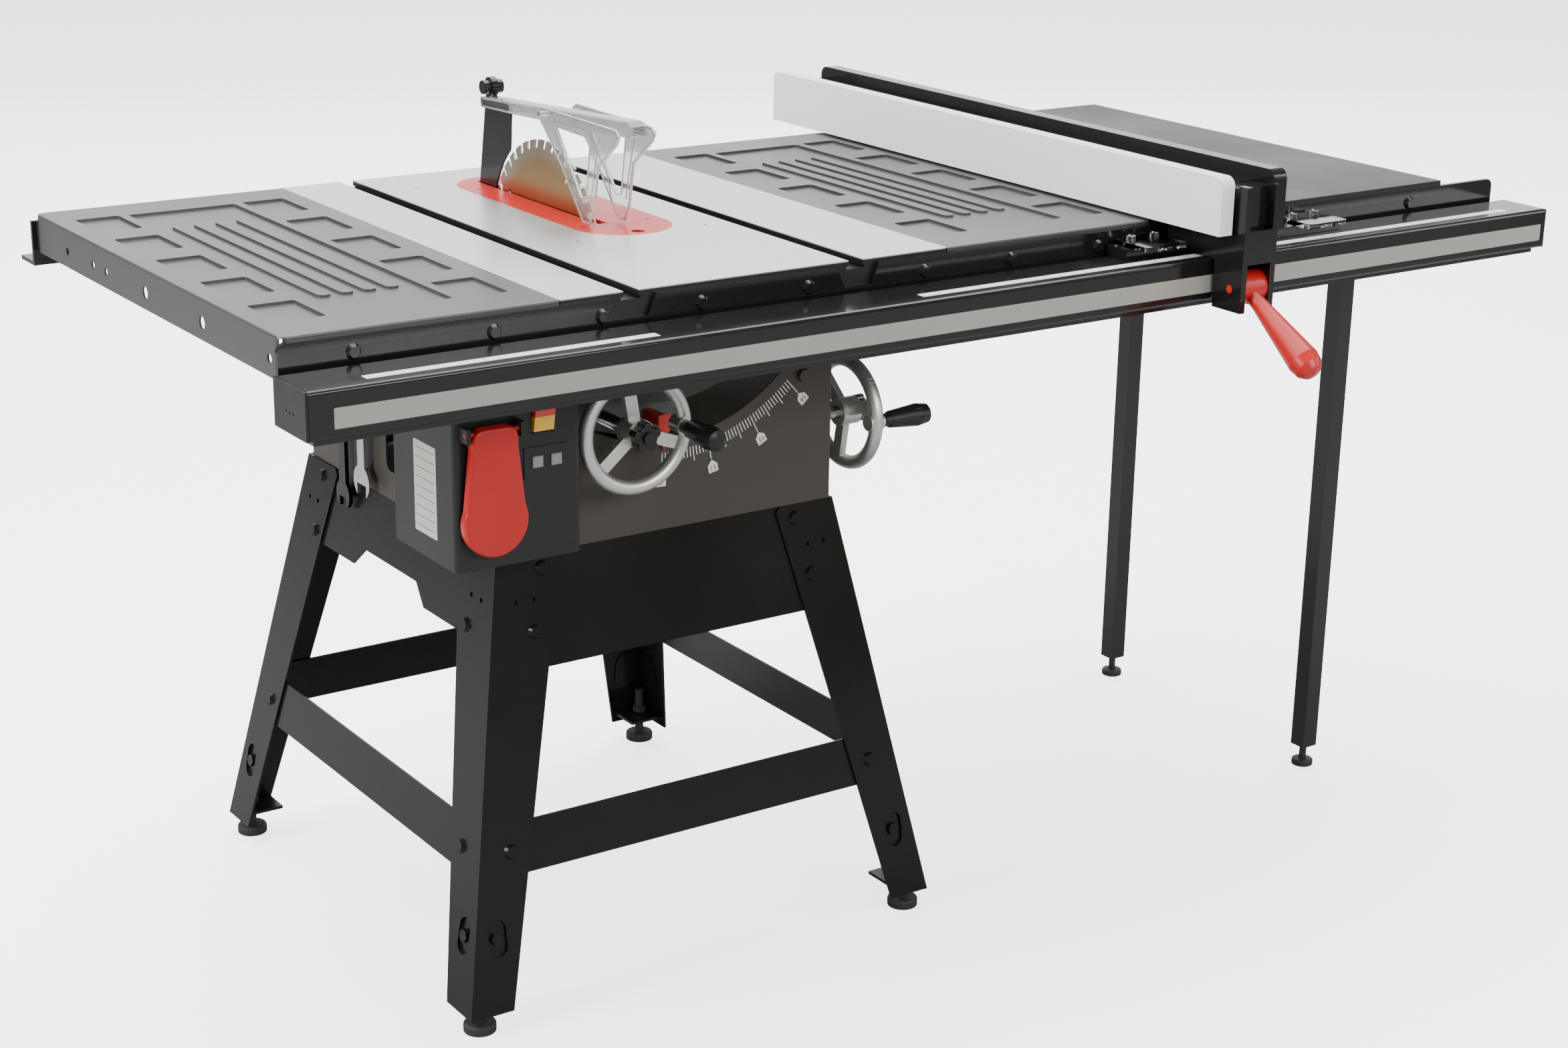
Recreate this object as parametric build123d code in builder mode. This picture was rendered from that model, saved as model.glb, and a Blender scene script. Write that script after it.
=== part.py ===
from build123d import *
import math
import os

os.makedirs("parts", exist_ok=True)

# ---- Overall sizes (mm) ----
top_z = 860.0            # height of the table surface
table_w = 502.0          # cast table, left to right
table_d = 686.0          # cast table, front to back
table_rim = 40.0         # depth of the rim round the casting
table_t = 9.0            # thickness of the table plate
wing_w = 310.0           # one stamped wing
wing_rim = 45.0
sheet = 2.0              # stamped wing sheet
ext_right = 1054.0       # right edge of the extension table
blade_x = -20.0          # plane of the blade and the tilt axis
blade_y = 95.0           # arbor axis
arbor_drop = 50.0        # arbor below the table at full height
blade_r = 127.0
slot_left = -165.0
slot_right = 124.0
half_w = table_w / 2
half_d = table_d / 2
wing_left = -half_w - wing_w
wing_right = half_w + wing_w
arbor_z = top_z - arbor_drop
# Lengths below are measured from the middle of the table; the pieces are written out
# measured from the middle of the outer box at floor height.
frame_x = 290.5
frame_y = -69.5
to_frame = Location((-frame_x, -frame_y, 0))


def box_at(x0, x1, y0, y1, z0, z1, mode=Mode.ADD):
    """A box between two corners, in the builder that is open."""
    with Locations(((x0 + x1) / 2, (y0 + y1) / 2, (z0 + z1) / 2)):
        Box(x1 - x0, y1 - y0, z1 - z0, mode=mode)


def rod_at(x, y, z, radius, length, axis, mode=Mode.ADD):
    """A round bar centred on a point, along X, Y or Z."""
    turn = {"X": (0, 90, 0), "Y": (90, 0, 0), "Z": (0, 0, 0)}[axis]
    with Locations(Location((x, y, z), turn)):
        Cylinder(radius, length, mode=mode)


# ---- Cast table: plate, rim, ribs, two T-slots, throat and trunnion seats ----
insert_x = -3.0
insert_r = 60.0
insert_y0 = -111.0
insert_y1 = 286.0
insert_t = 6.0
ledge = 7.0
seat_r = 99.5
front_seat_y = -145.0
rear_seat_y = 304.0
trunnion_t = 14.0
insert_mid = (insert_y0 + insert_y1) / 2
insert_len = insert_y1 - insert_y0

with BuildPart() as table_casting:
    box_at(-half_w, half_w, -half_d, half_d, top_z - table_rim, top_z)
    fillet(table_casting.edges().filter_by(Axis.Z), 3)
    # hollow underneath, leaving the rim and the ribs
    for x0, x1 in ((-half_w + 9, -190), (148, half_w - 9)):
        for y0, y1 in ((-half_d + 9, -170), (-120, 90), (100, half_d - 9)):
            box_at(x0, x1, y0, y1, top_z - table_rim, top_z - table_t, mode=Mode.SUBTRACT)
    # under the slots and beside the throat the plate is thicker
    for x0, x1 in ((-191, -139), (-140, 65), (64, 149)):
        for y0, y1 in ((-half_d + 9, -170), (-120, 286), (325, half_d - 9)):
            box_at(x0, x1, y0, y1, top_z - table_rim, top_z - 16, mode=Mode.SUBTRACT)
    # a clear lane for the tilting trunnions, front and rear
    for y0, y1 in ((-171, -119), (285, 325)):
        box_at(-half_w + 9, half_w - 9, y0, y1, top_z - table_rim, top_z - 16, mode=Mode.SUBTRACT)
    # mitre slots with an undercut
    for slot in (slot_left, slot_right):
        box_at(slot - 9.5, slot + 9.5, -half_d, half_d, top_z - 9.5, top_z, mode=Mode.SUBTRACT)
        box_at(slot - 12.2, slot + 12.2, -half_d, half_d, top_z - 9.5, top_z - 6.3, mode=Mode.SUBTRACT)
    # recess for the insert and the open throat below it
    with BuildSketch(Plane.XY.offset(top_z - insert_t - 0.2)):
        with Locations((insert_x, insert_mid)):
            SlotOverall(insert_len + 0.8, 2 * insert_r + 0.8, rotation=90)
    extrude(amount=insert_t + 1, mode=Mode.SUBTRACT)
    with BuildSketch(Plane.XY.offset(top_z - table_rim - 1)):
        with Locations((insert_x, insert_mid)):
            SlotOverall(insert_len - 2 * ledge, 2 * (insert_r - ledge), rotation=90)
    extrude(amount=table_rim + 2, mode=Mode.SUBTRACT)
    # half-round seats the two trunnions run round
    for seat_y in (front_seat_y, rear_seat_y):
        with BuildSketch(Plane((0, seat_y + trunnion_t / 2, 0), x_dir=(1, 0, 0), z_dir=(0, -1, 0))):
            with Locations((blade_x, top_z)):
                Circle(seat_r)
            with Locations((blade_x, top_z + 92)):
                Rectangle(3 * seat_r, 210, mode=Mode.SUBTRACT)
        extrude(amount=trunnion_t)
    # three small tapped holes round the throat
    for hole_x, hole_y in ((-108, 261), (-92, -106), (82, -101)):
        rod_at(hole_x, hole_y, top_z, 2.5, 24, "Z", mode=Mode.SUBTRACT)
table_casting.part.label = "table_casting"
export_step(table_casting.part.moved(to_frame), "parts/table_casting.step")


# ---- Table insert: red plate with the blade slot and a finger hole ----
with BuildPart() as table_insert:
    with BuildSketch(Plane.XY.offset(top_z - insert_t - 0.2)):
        with Locations((insert_x, insert_mid)):
            SlotOverall(insert_len, 2 * insert_r, rotation=90)
        with Locations((blade_x + 2.5, 114)):
            Rectangle(12, 300, mode=Mode.SUBTRACT)
        with Locations((-4, -92)):
            Circle(8, mode=Mode.SUBTRACT)
        with Locations((-46, -40), (40, -40), (-46, 215), (40, 215)):
            Circle(2.2, mode=Mode.SUBTRACT)
    extrude(amount=insert_t)
table_insert.part.label = "table_insert"
export_step(table_insert.part.moved(to_frame), "parts/table_insert.step")

# ---- Stamped wings: thin sheet with pockets, beads and a turned-down rim ----
pocket_depth = 3.0
pocket_w = 52.0
pocket_l = 78.0
pocket_pitch = 122.0
panel_w = 132.0
panel_l = 560.0
rim_holes = ((25 - half_d, 5), (-150, 7), (5, 7), (120, 4.5), (160, 4.5), (240, 4.5))


def stamped_wing(name, middle, outer):
    """One wing. middle is its centre in X, outer is -1 for left and 1 for right."""
    x0 = middle - wing_w / 2
    x1 = middle + wing_w / 2
    columns = (middle - wing_w / 2 + 52, middle + wing_w / 2 - 52)
    pockets = [(cx, row * pocket_pitch) for cx in columns for row in range(-2, 3)]
    with BuildPart() as wing:
        box_at(x0, x1, -half_d, half_d, top_z - wing_rim, top_z)
        outside = wing.edges().filter_by(Axis.Z).group_by(Axis.X)[0 if outer < 0 else -1]
        fillet(outside, 10)
        top_edges = wing.faces().sort_by(Axis.Z)[-1].edges()
        fillet(top_edges.group_by(Axis.X)[0 if outer < 0 else -1], 2.5)
        box_at(x0 + sheet, x1 - sheet, -half_d + sheet, half_d - sheet,
               top_z - wing_rim, top_z - sheet, mode=Mode.SUBTRACT)
        # the floor of every pocket hangs below the sheet
        low = top_z - pocket_depth - sheet
        with BuildSketch(Plane.XY.offset(low)):
            with Locations(*pockets):
                RectangleRounded(pocket_w + 4, pocket_l + 4, 6)
            with Locations((middle, 0)):
                RectangleRounded(panel_w + 4, panel_l + 4, 6)
        extrude(amount=pocket_depth + sheet - 0.5)
        with BuildSketch(Plane.XY.offset(top_z - pocket_depth)):
            with Locations(*pockets):
                RectangleRounded(pocket_w, pocket_l, 4)
            with Locations((middle, 0)):
                RectangleRounded(panel_w, panel_l, 4)
        extrude(amount=pocket_depth + 1, mode=Mode.SUBTRACT)
        # plain stiffening beads in the middle panel
        with BuildSketch(Plane.XY.offset(top_z - pocket_depth - 0.5)):
            with Locations((middle - 39, 0), (middle - 13, 0), (middle + 13, 0), (middle + 39, 0)):
                SlotOverall(400, 15, rotation=90)
        extrude(amount=pocket_depth)
        for hole_y, hole_r in rim_holes:
            rod_at(middle + outer * wing_w / 2, hole_y, top_z - 26, hole_r, 12, "X", mode=Mode.SUBTRACT)
    wing.part.label = name
    export_step(wing.part.moved(to_frame), "parts/" + name + ".step")
    return wing.part


left_wing = stamped_wing("left_wing", -half_w - wing_w / 2, -1)
right_wing = stamped_wing("right_wing", half_w + wing_w / 2, 1)

# ---- Extension table: laminate board on a steel frame with two legs ----
board_t = 28.0
leg_x = 1030.0
leg_y = 206.0
leg_size = 25.0

with BuildPart() as extension_top:
    box_at(wing_right + 0.5, ext_right, -half_d, half_d, top_z - board_t, top_z)
    fillet(extension_top.edges().filter_by(Axis.Z), 2)
    chamfer(extension_top.faces().sort_by(Axis.Z)[-1].edges(), 0.8)
extension_top.part.label = "extension_top"
export_step(extension_top.part.moved(to_frame), "parts/extension_top.step")

with BuildPart() as extension_legs:
    frame_z1 = top_z - board_t
    frame_z0 = frame_z1 - 38
    rail_half = half_d - 33
    box_at(leg_x - 16, leg_x + 16, -rail_half, rail_half, frame_z0, frame_z1)
    box_at(leg_x - 14, leg_x + 14, 2 - rail_half, rail_half - 2, frame_z0 - 1, frame_z1 - 2, mode=Mode.SUBTRACT)
    for side in (-1, 1):
        y = side * leg_y
        box_at(wing_right + 3, leg_x - 15, y - 12, y + 12, frame_z0, frame_z1)
        box_at(wing_right + 5, leg_x - 16, y - 10, y + 10, frame_z0 - 1, frame_z1 - 2, mode=Mode.SUBTRACT)
        box_at(leg_x - leg_size / 2, leg_x + leg_size / 2, y - leg_size / 2, y + leg_size / 2, 30, frame_z1 - 2)
        box_at(leg_x - 10.5, leg_x + 10.5, y - 10.5, y + 10.5, 36, frame_z1 - 4, mode=Mode.SUBTRACT)
        rod_at(leg_x, y, 32, 5.1, 20, "Z", mode=Mode.SUBTRACT)
extension_legs.part.label = "extension_legs"
export_step(extension_legs.part.moved(to_frame), "parts/extension_legs.step")


def levelling_foot(name, x, y, pad_r, pad_h, stem_r, stem_top, nut_z):
    """Rubber pad on a threaded stem with a lock nut above the bracket."""
    with BuildPart() as foot:
        rod_at(x, y, pad_h / 2, pad_r, pad_h, "Z")
        fillet(foot.edges().group_by(Axis.Z)[0], 1.5)
        fillet(foot.edges().group_by(Axis.Z)[-1], pad_h * 0.3)
        rod_at(x, y, (pad_h + stem_top) / 2 - 1, stem_r, stem_top - pad_h + 2, "Z")
        if nut_z > 0:
            with BuildSketch(Plane.XY.offset(nut_z)):
                with Locations((x, y)):
                    RegularPolygon(stem_r * 1.7, 6)
            extrude(amount=8)
    foot.part.label = name
    export_step(foot.part.moved(to_frame), "parts/" + name + ".step")
    return foot.part


ext_foot_front = levelling_foot("ext_foot_front", leg_x, -leg_y, 15, 9, 5, 70, 0)
ext_foot_rear = levelling_foot("ext_foot_rear", leg_x, leg_y, 15, 9, 5, 70, 0)

# ---- Front rail: angle on the table edge, tube on the angle, dome bolts ----
angle_x0 = wing_left - 5
angle_x1 = 1143.0
angle_top = top_z - 5
angle_foot = top_z - 88
angle_t = 6.0
tube_x0 = -576.0
tube_x1 = 1157.0
tube_depth = 74.0
rail_gap = 15.0          # front edge of the table to the back of the tube
tube_y1 = -half_d - rail_gap
tube_y0 = tube_y1 - tube_depth
tube_mid_y = (tube_y0 + tube_y1) / 2
tube_z0 = top_z - 82
tube_z1 = top_z - 32
angle_bolt_x = (-486, -330, -203, -81, 57, 216, 340, 470, 640, 820, 990)

with BuildPart() as front_angle:
    box_at(angle_x0, angle_x1, -half_d - angle_t, -half_d, angle_foot, angle_top)
    fillet(front_angle.edges().filter_by(Axis.Y).group_by(Axis.Z)[-1], 9)
    box_at(angle_x0, angle_x1, tube_y0 + 7, -half_d, angle_foot, angle_foot + angle_t)
    for slot in (slot_left, slot_right):
        with BuildSketch(Plane((0, -half_d, 0), x_dir=(1, 0, 0), z_dir=(0, -1, 0))):
            with Locations((slot, angle_top - 11)):
                Trapezoid(58, 24, 65, rotation=180)
        extrude(amount=angle_t + 1, mode=Mode.SUBTRACT)
front_angle.part.label = "front_angle"
export_step(front_angle.part.moved(to_frame), "parts/front_angle.step")

with BuildPart() as rail_tube:
    box_at(tube_x0 + 3, tube_x1 - 3, tube_y0, tube_y1, tube_z0, tube_z1)
    fillet(rail_tube.edges().filter_by(Axis.X), 4)
    box_at(tube_x0, tube_x1, tube_y0 + 3, tube_y1 - 3, tube_z0 + 3, tube_z1 - 3, mode=Mode.SUBTRACT)
rail_tube.part.label = "rail_tube"
export_step(rail_tube.part.moved(to_frame), "parts/rail_tube.step")

with BuildPart() as rail_end_caps:
    for x0, x1, p0, p1 in ((tube_x0, tube_x0 + 3, tube_x0 + 3, tube_x0 + 15),
                           (tube_x1 - 3, tube_x1, tube_x1 - 15, tube_x1 - 3)):
        box_at(x0, x1, tube_y0 + 0.5, tube_y1 - 0.5, tube_z0 + 0.5, tube_z1 - 0.5)
        box_at(p0, p1, tube_y0 + 3.3, tube_y1 - 3.3, tube_z0 + 3.3, tube_z1 - 3.3)
    for dot in (tube_mid_y - 8, tube_mid_y, tube_mid_y + 8):
        rod_at(tube_x0, dot, tube_z0 + 22, 1.3, 2, "X", mode=Mode.SUBTRACT)
rail_end_caps.part.label = "rail_end_caps"
export_step(rail_end_caps.part.moved(to_frame), "parts/rail_end_caps.step")

with BuildPart() as rail_bolts:
    with BuildSketch(Plane((0, -half_d - angle_t, 0), x_dir=(1, 0, 0), z_dir=(0, -1, 0))):
        with Locations(*[(x, top_z - 22) for x in angle_bolt_x]):
            Circle(8.5)
    extrude(amount=4, taper=35)
    # hex heads that clamp the tube from under the angle
    with BuildSketch(Plane.XY.offset(angle_foot - 5)):
        with Locations(*[(x, tube_mid_y) for x in (-500, -250, 0, 250, 500, 750, 1000)]):
            RegularPolygon(8, 6)
    extrude(amount=5)
rail_bolts.part.label = "rail_bolts"
export_step(rail_bolts.part.moved(to_frame), "parts/rail_bolts.step")

# ---- Rear rail: plain angle with its foot turned back ----
with BuildPart() as rear_angle:
    box_at(angle_x0, ext_right + 6, half_d, half_d + 5, top_z - 62, top_z - 9)
    box_at(angle_x0, ext_right + 6, half_d, half_d + 44, top_z - 62, top_z - 57)
    for x in (-486, -203, 57, 216, 470, 820):
        rod_at(x, half_d + 28, top_z - 60, 4, 12, "Z", mode=Mode.SUBTRACT)
rear_angle.part.label = "rear_angle"
export_step(rear_angle.part.moved(to_frame), "parts/rear_angle.step")

# ---- Stand: four splayed bent-sheet legs, deep panels and low braces ----
stand_x = -19.0
stand_y = 57.0
stand_top = top_z - 330
stand_low = 25.0
half_x_top = 229.0
half_x_low = 321.0
half_y_top = 245.0
half_y_low = 340.0
leg_sheet = 3.0
# width of a leg's flange at its top and foot, wider on the left and right sides
flange_top = {"front": 82.0, "rear": 82.0, "left": 84.0, "right": 84.0}
flange_low = {"front": 55.0, "rear": 55.0, "left": 60.0, "right": 60.0}
recess_in = 28.0
recess_up = 86.0
rise = stand_top - stand_low
slope_x = math.atan2(half_x_low - half_x_top, rise)
slope_y = math.atan2(half_y_low - half_y_top, rise)
sides = ("front", "rear", "left", "right")


def stand_plane(side, inset):
    """Outer face of one side of the stand, moved in by inset. Local Y runs up the slope."""
    cx, sx = math.cos(slope_x), math.sin(slope_x)
    cy, sy = math.cos(slope_y), math.sin(slope_y)
    normal, across, edge = {
        "front": ((0, -cy, sy), (1, 0, 0), (stand_x, stand_y - half_y_top)),
        "rear": ((0, cy, sy), (-1, 0, 0), (stand_x, stand_y + half_y_top)),
        "left": ((-cx, 0, sx), (0, -1, 0), (stand_x - half_x_top, stand_y)),
        "right": ((cx, 0, sx), (0, 1, 0), (stand_x + half_x_top, stand_y)),
    }[side]
    start = Vector(edge[0], edge[1], stand_top) - Vector(*normal) * inset
    return Plane(start, x_dir=across, z_dir=normal)


def slope_of(side):
    """Length down the slope for one millimetre of height."""
    return 1 / math.cos(slope_y if side in ("front", "rear") else slope_x)


def half_at(side, z):
    """Half width of a side of the stand at a height."""
    part_way = (stand_top - z) / rise
    if side in ("front", "rear"):
        return half_x_top + (half_x_low - half_x_top) * part_way
    return half_y_top + (half_y_low - half_y_top) * part_way


def recess_spot(side, hand):
    """Centre of the oval opening near the foot of a leg."""
    half = half_at(side, stand_low + recess_up)
    return (hand * (half - recess_in), -slope_of(side) * (rise - recess_up))


def leg_flange(side, hand):
    """One sheet of a leg: hand -1 or 1 picks the end of the side."""
    down = slope_of(side) * rise
    top = hand * half_at(side, stand_top)
    low = hand * half_at(side, stand_low)
    oval = recess_spot(side, hand)
    with BuildSketch(stand_plane(side, 0)) as flange:
        with BuildLine():
            Polyline((top, 0), (top - hand * (flange_top[side] - 7), 0), (top - hand * flange_top[side], -7),
                     (low - hand * flange_low[side], -down), (low, -down), close=True)
        make_face()
        with Locations(*[(hand * (half_at(side, stand_top - 50) - back), -50 * slope_of(side)) for back in (28, 51)]):
            Circle(2.8, mode=Mode.SUBTRACT)
        with Locations(oval):
            SlotOverall(44, 24, rotation=90, mode=Mode.SUBTRACT)
    extrude(flange.sketch, amount=-leg_sheet)
    # a shallow dished seat for the foot bolt behind the oval opening
    with BuildSketch(stand_plane(side, leg_sheet - 0.5)) as dish_wall:
        with Locations(oval):
            SlotOverall(54, 34, rotation=90)
            SlotOverall(44, 24, rotation=90, mode=Mode.SUBTRACT)
    extrude(dish_wall.sketch, amount=-2.5)
    with BuildSketch(stand_plane(side, leg_sheet + 0.5)) as dish_floor:
        with Locations(oval):
            SlotOverall(54, 34, rotation=90)
    extrude(dish_floor.sketch, amount=-1.5)


foot_stem_top = 76.0
foot_clear = 12.406      # foot axis to the splayed sheet, at the top of the stem
foot_in = foot_clear + (foot_stem_top - stand_low) * (half_y_low - half_y_top) / (stand_top - stand_low)
foot_x = half_x_low - foot_in
foot_y = half_y_low - foot_in
corner_signs = {"front_left": (-1, -1), "front_right": (1, -1), "rear_left": (-1, 1), "rear_right": (1, 1)}


def stand_leg(corner):
    """Both sheets of one leg and the tab its foot screws through."""
    hx, hy = corner_signs[corner]
    leg_flange("front" if hy < 0 else "rear", hx if hy < 0 else -hx)
    leg_flange("left" if hx < 0 else "right", -hy if hx < 0 else hy)
    x_out = stand_x + hx * (half_x_low - 3.0)
    y_out = stand_y + hy * (half_y_low - 3.0)
    x_in = x_out - hx * 50
    y_in = y_out - hy * 50
    box_at(min(x_out, x_in), max(x_out, x_in), min(y_out, y_in), max(y_out, y_in), 37, 41)
    rod_at(stand_x + hx * foot_x, stand_y + hy * foot_y, 39, 6.2, 12, "Z", mode=Mode.SUBTRACT)


with BuildPart() as stand_legs_front:
    stand_leg("front_left")
    stand_leg("front_right")
stand_legs_front.part.label = "stand_legs_front"
export_step(stand_legs_front.part.moved(to_frame), "parts/stand_legs_front.step")

with BuildPart() as stand_legs_rear:
    stand_leg("rear_left")
    stand_leg("rear_right")
stand_legs_rear.part.label = "stand_legs_rear"
export_step(stand_legs_rear.part.moved(to_frame), "parts/stand_legs_rear.step")

panel_h = 129.0
side_panel_h = 98.5
side_panel_mid = 74.5
panel_sheet = 2.5
with BuildPart() as stand_panels:
    for side in sides:
        down = slope_of(side) * (panel_h if side in ("front", "rear") else side_panel_h)
        mid = slope_of(side) * side_panel_mid
        top = half_at(side, stand_top) - 16
        with BuildSketch(stand_plane(side, leg_sheet)):
            with BuildLine():
                if side in ("front", "rear"):
                    Polyline((-top, 0), (top, 0), (top, -down), (-top, -down), close=True)
                else:
                    Polyline((-top, 0), (top, 0), (top, -down), (93, -down), (67, -mid),
                             (-67, -mid), (-93, -down), (-top, -down), close=True)
            make_face()
        extrude(amount=-panel_sheet)
    # flanges turned in at the top carry the cabinet
    y_edge = stand_y - half_y_top + 3.6
    box_at(stand_x - 200, stand_x + 200, y_edge, y_edge + 18, stand_top - 2.5, stand_top)
    y_edge = stand_y + half_y_top - 3.6
    box_at(stand_x - 200, stand_x + 200, y_edge - 18, y_edge, stand_top - 2.5, stand_top)
    x_edge = stand_x - half_x_top + 3.6
    box_at(x_edge, x_edge + 18, stand_y - 205, stand_y + 205, stand_top - 2.5, stand_top)
    x_edge = stand_x + half_x_top - 3.6
    box_at(x_edge - 18, x_edge, stand_y - 205, stand_y + 205, stand_top - 2.5, stand_top)
stand_panels.part.label = "stand_panels"
export_step(stand_panels.part.moved(to_frame), "parts/stand_panels.step")

brace_z0 = 176.0
brace_z1 = 236.0
with BuildPart() as stand_braces:
    for side in sides:
        high = slope_of(side) * (stand_top - brace_z1)
        low = slope_of(side) * (stand_top - brace_z0)
        wide_high = half_at(side, brace_z1) - 12
        wide_low = half_at(side, brace_z0) - 12
        with BuildSketch(stand_plane(side, leg_sheet)):
            with BuildLine():
                Polyline((-wide_high, -high), (wide_high, -high), (wide_low, -low), (-wide_low, -low), close=True)
            make_face()
        extrude(amount=-2.5)
stand_braces.part.label = "stand_braces"
export_step(stand_braces.part.moved(to_frame), "parts/stand_braces.step")

# how far each bolt sits below the stand's top and in from the leg's corner
bolt_rows = {"front": ((17, 60), (86, 56), (325, 39)), "left": ((17, 48), (86, 60), (325, 44))}
bolt_rows["rear"] = bolt_rows["front"]
bolt_rows["right"] = bolt_rows["left"]
with BuildPart() as stand_bolts:
    for side in sides:
        spots = []
        for hand in (-1, 1):
            for below, back in bolt_rows[side]:
                spots.append((hand * (half_at(side, stand_top - below) - back), -slope_of(side) * below))
        with BuildSketch(stand_plane(side, 0)):
            with Locations(*spots):
                Circle(9)
        extrude(amount=4, taper=32)
        with BuildSketch(stand_plane(side, 3.5)):
            with Locations(recess_spot(side, -1), recess_spot(side, 1)):
                RegularPolygon(8, 6)
        extrude(amount=5)
stand_bolts.part.label = "stand_bolts"
export_step(stand_bolts.part.moved(to_frame), "parts/stand_bolts.step")

for corner, (hx, hy) in corner_signs.items():
    levelling_foot("foot_" + corner, stand_x + hx * foot_x, stand_y + hy * foot_y, 19, 12, 6, foot_stem_top, 43)

# ---- Cabinet: bent sheet body with the arc slot, side openings and flanges ----
cab_x0 = -246.0
cab_x1 = 207.0
cab_y0 = -188.0
cab_y1 = 292.0
cab_z0 = stand_top
cab_z1 = top_z - table_rim
cab_sheet = 2.0
wheel_angle = math.radians(-23.2)     # elevation shaft, seen from the tilt axis
wheel_arm = 205.0
elev_x = blade_x + wheel_arm * math.sin(wheel_angle)
elev_z = top_z - wheel_arm * math.cos(wheel_angle)
slot_r0 = wheel_arm - 27
slot_r1 = wheel_arm + 19
tilt_y = -145.0
tilt_z = top_z - 240
gear_mid_y = 5.0                      # elevation screw axis


def wedge(a0, a1, reach):
    """Corner points of a pie slice at the tilt axis; angles from straight down, right is positive."""
    points = [(blade_x, top_z)]
    steps = 8
    for k in range(steps + 1):
        a = math.radians(a0 + (a1 - a0) * k / steps)
        points.append((blade_x + reach * math.sin(a), top_z - reach * math.cos(a)))
    return points


def upright(y):
    """Plane facing the operator at a depth y; its local axes are X and Z."""
    return Plane((0, y, 0), x_dir=(1, 0, 0), z_dir=(0, -1, 0))


with BuildPart() as cabinet_shell:
    box_at(cab_x0, cab_x1, cab_y0, cab_y1, cab_z0, cab_z1)
    fillet(cabinet_shell.edges().filter_by(Axis.Z).group_by(Axis.Y)[0], 4)
    box_at(cab_x0 + cab_sheet, cab_x1 - cab_sheet, cab_y0 + cab_sheet, cab_y1 - cab_sheet,
           cab_z0 + cab_sheet, cab_z1 + 1, mode=Mode.SUBTRACT)
    # open underneath and behind, apart from a flange all round
    box_at(cab_x0 + 16, cab_x1 - 16, cab_y0 + 16, cab_y1 - 16, cab_z0 - 1, cab_z0 + 5, mode=Mode.SUBTRACT)
    box_at(cab_x0 + 16, cab_x1 - 16, cab_y1 - 5, cab_y1 + 1, cab_z0 + 16, cab_z1 + 1, mode=Mode.SUBTRACT)
    # arc slot the elevation wheel travels along
    with BuildSketch(upright(cab_y0 + 5)):
        with Locations((blade_x, top_z)):
            Circle(slot_r1)
            Circle(slot_r0, mode=Mode.SUBTRACT)
        with BuildLine():
            Polyline(*wedge(-31, 49, 300), close=True)
        make_face(mode=Mode.INTERSECT)
    extrude(amount=10, mode=Mode.SUBTRACT)
    # opening in the left side and the hole for the tilt shaft in the right
    with BuildSketch(Plane.YZ.offset(cab_x0 - 2)):
        with Locations((-10, top_z - 205)):
            RectangleRounded(190, 180, 12)
    extrude(amount=8, mode=Mode.SUBTRACT)
    rod_at(cab_x1, tilt_y, tilt_z, 8.1, 20, "X", mode=Mode.SUBTRACT)
    # inner bearing for the end of the tilt shaft
    box_at(blade_x - 60, blade_x - 52, cab_y0 + 1.5, tilt_y + 14, tilt_z - 16, tilt_z + 12)
    rod_at(blade_x - 56, tilt_y, tilt_z, 8.1, 20, "X", mode=Mode.SUBTRACT)
    # limit stop bolt at the top of the slot
    with BuildSketch(upright(cab_y0)):
        with Locations((163, top_z - 172)):
            RegularPolygon(8, 6)
    extrude(amount=6)
cabinet_shell.part.label = "cabinet_shell"
export_step(cabinet_shell.part.moved(to_frame), "parts/cabinet_shell.step")

# ---- Switch box with its stop paddle, power rocker and status lenses ----
sw_x0 = -334.0
sw_x1 = -180.0
sw_y0 = -262.0
sw_z0 = top_z - 308
sw_z1 = top_z - 112
rocker_x = -227.0
rocker_z = top_z - 146
paddle_x = -293.0
paddle_pin_z = top_z - 152
paddle_pin_y = -273.0

with BuildPart() as switch_box:
    box_at(sw_x0, sw_x1, sw_y0, cab_y0, sw_z0, sw_z1)
    box_at(sw_x0, cab_x0, cab_y0 - 1, -118, sw_z0, sw_z1)
    fillet(switch_box.edges().filter_by(Axis.Z).group_by(Axis.Y)[0], 7)
    box_at(sw_x0 + 3, sw_x1 - 3, sw_y0 + 18, cab_y0 - 3, sw_z0 + 3, sw_z1 - 3, mode=Mode.SUBTRACT)
    box_at(sw_x0 + 3, cab_x0 - 3, cab_y0 - 5, -121, sw_z0 + 3, sw_z1 - 3, mode=Mode.SUBTRACT)
    # pocket for the rocker
    box_at(rocker_x - 14, rocker_x + 14, sw_y0 - 1, sw_y0 + 15, rocker_z - 19, rocker_z + 19, mode=Mode.SUBTRACT)
    # raised plate behind the status lenses
    box_at(rocker_x - 24, rocker_x + 30, sw_y0 - 1.5, sw_y0, top_z - 216, top_z - 180)
    # ears that carry the paddle pin
    for ear_x in (paddle_x - 32.5, paddle_x + 32.5):
        box_at(ear_x - 2.5, ear_x + 2.5, paddle_pin_y - 7, sw_y0 + 1, paddle_pin_z - 8, paddle_pin_z + 8)
        rod_at(ear_x, paddle_pin_y, paddle_pin_z, 3.08, 12, "X", mode=Mode.SUBTRACT)
    # gland for the supply lead, on the underside
    rod_at(-290, -150, sw_z0 - 6, 9, 14, "Z")
    rod_at(-290, -150, sw_z0 - 6, 4, 30, "Z", mode=Mode.SUBTRACT)
switch_box.part.label = "switch_box"
export_step(switch_box.part.moved(to_frame), "parts/switch_box.step")

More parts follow.
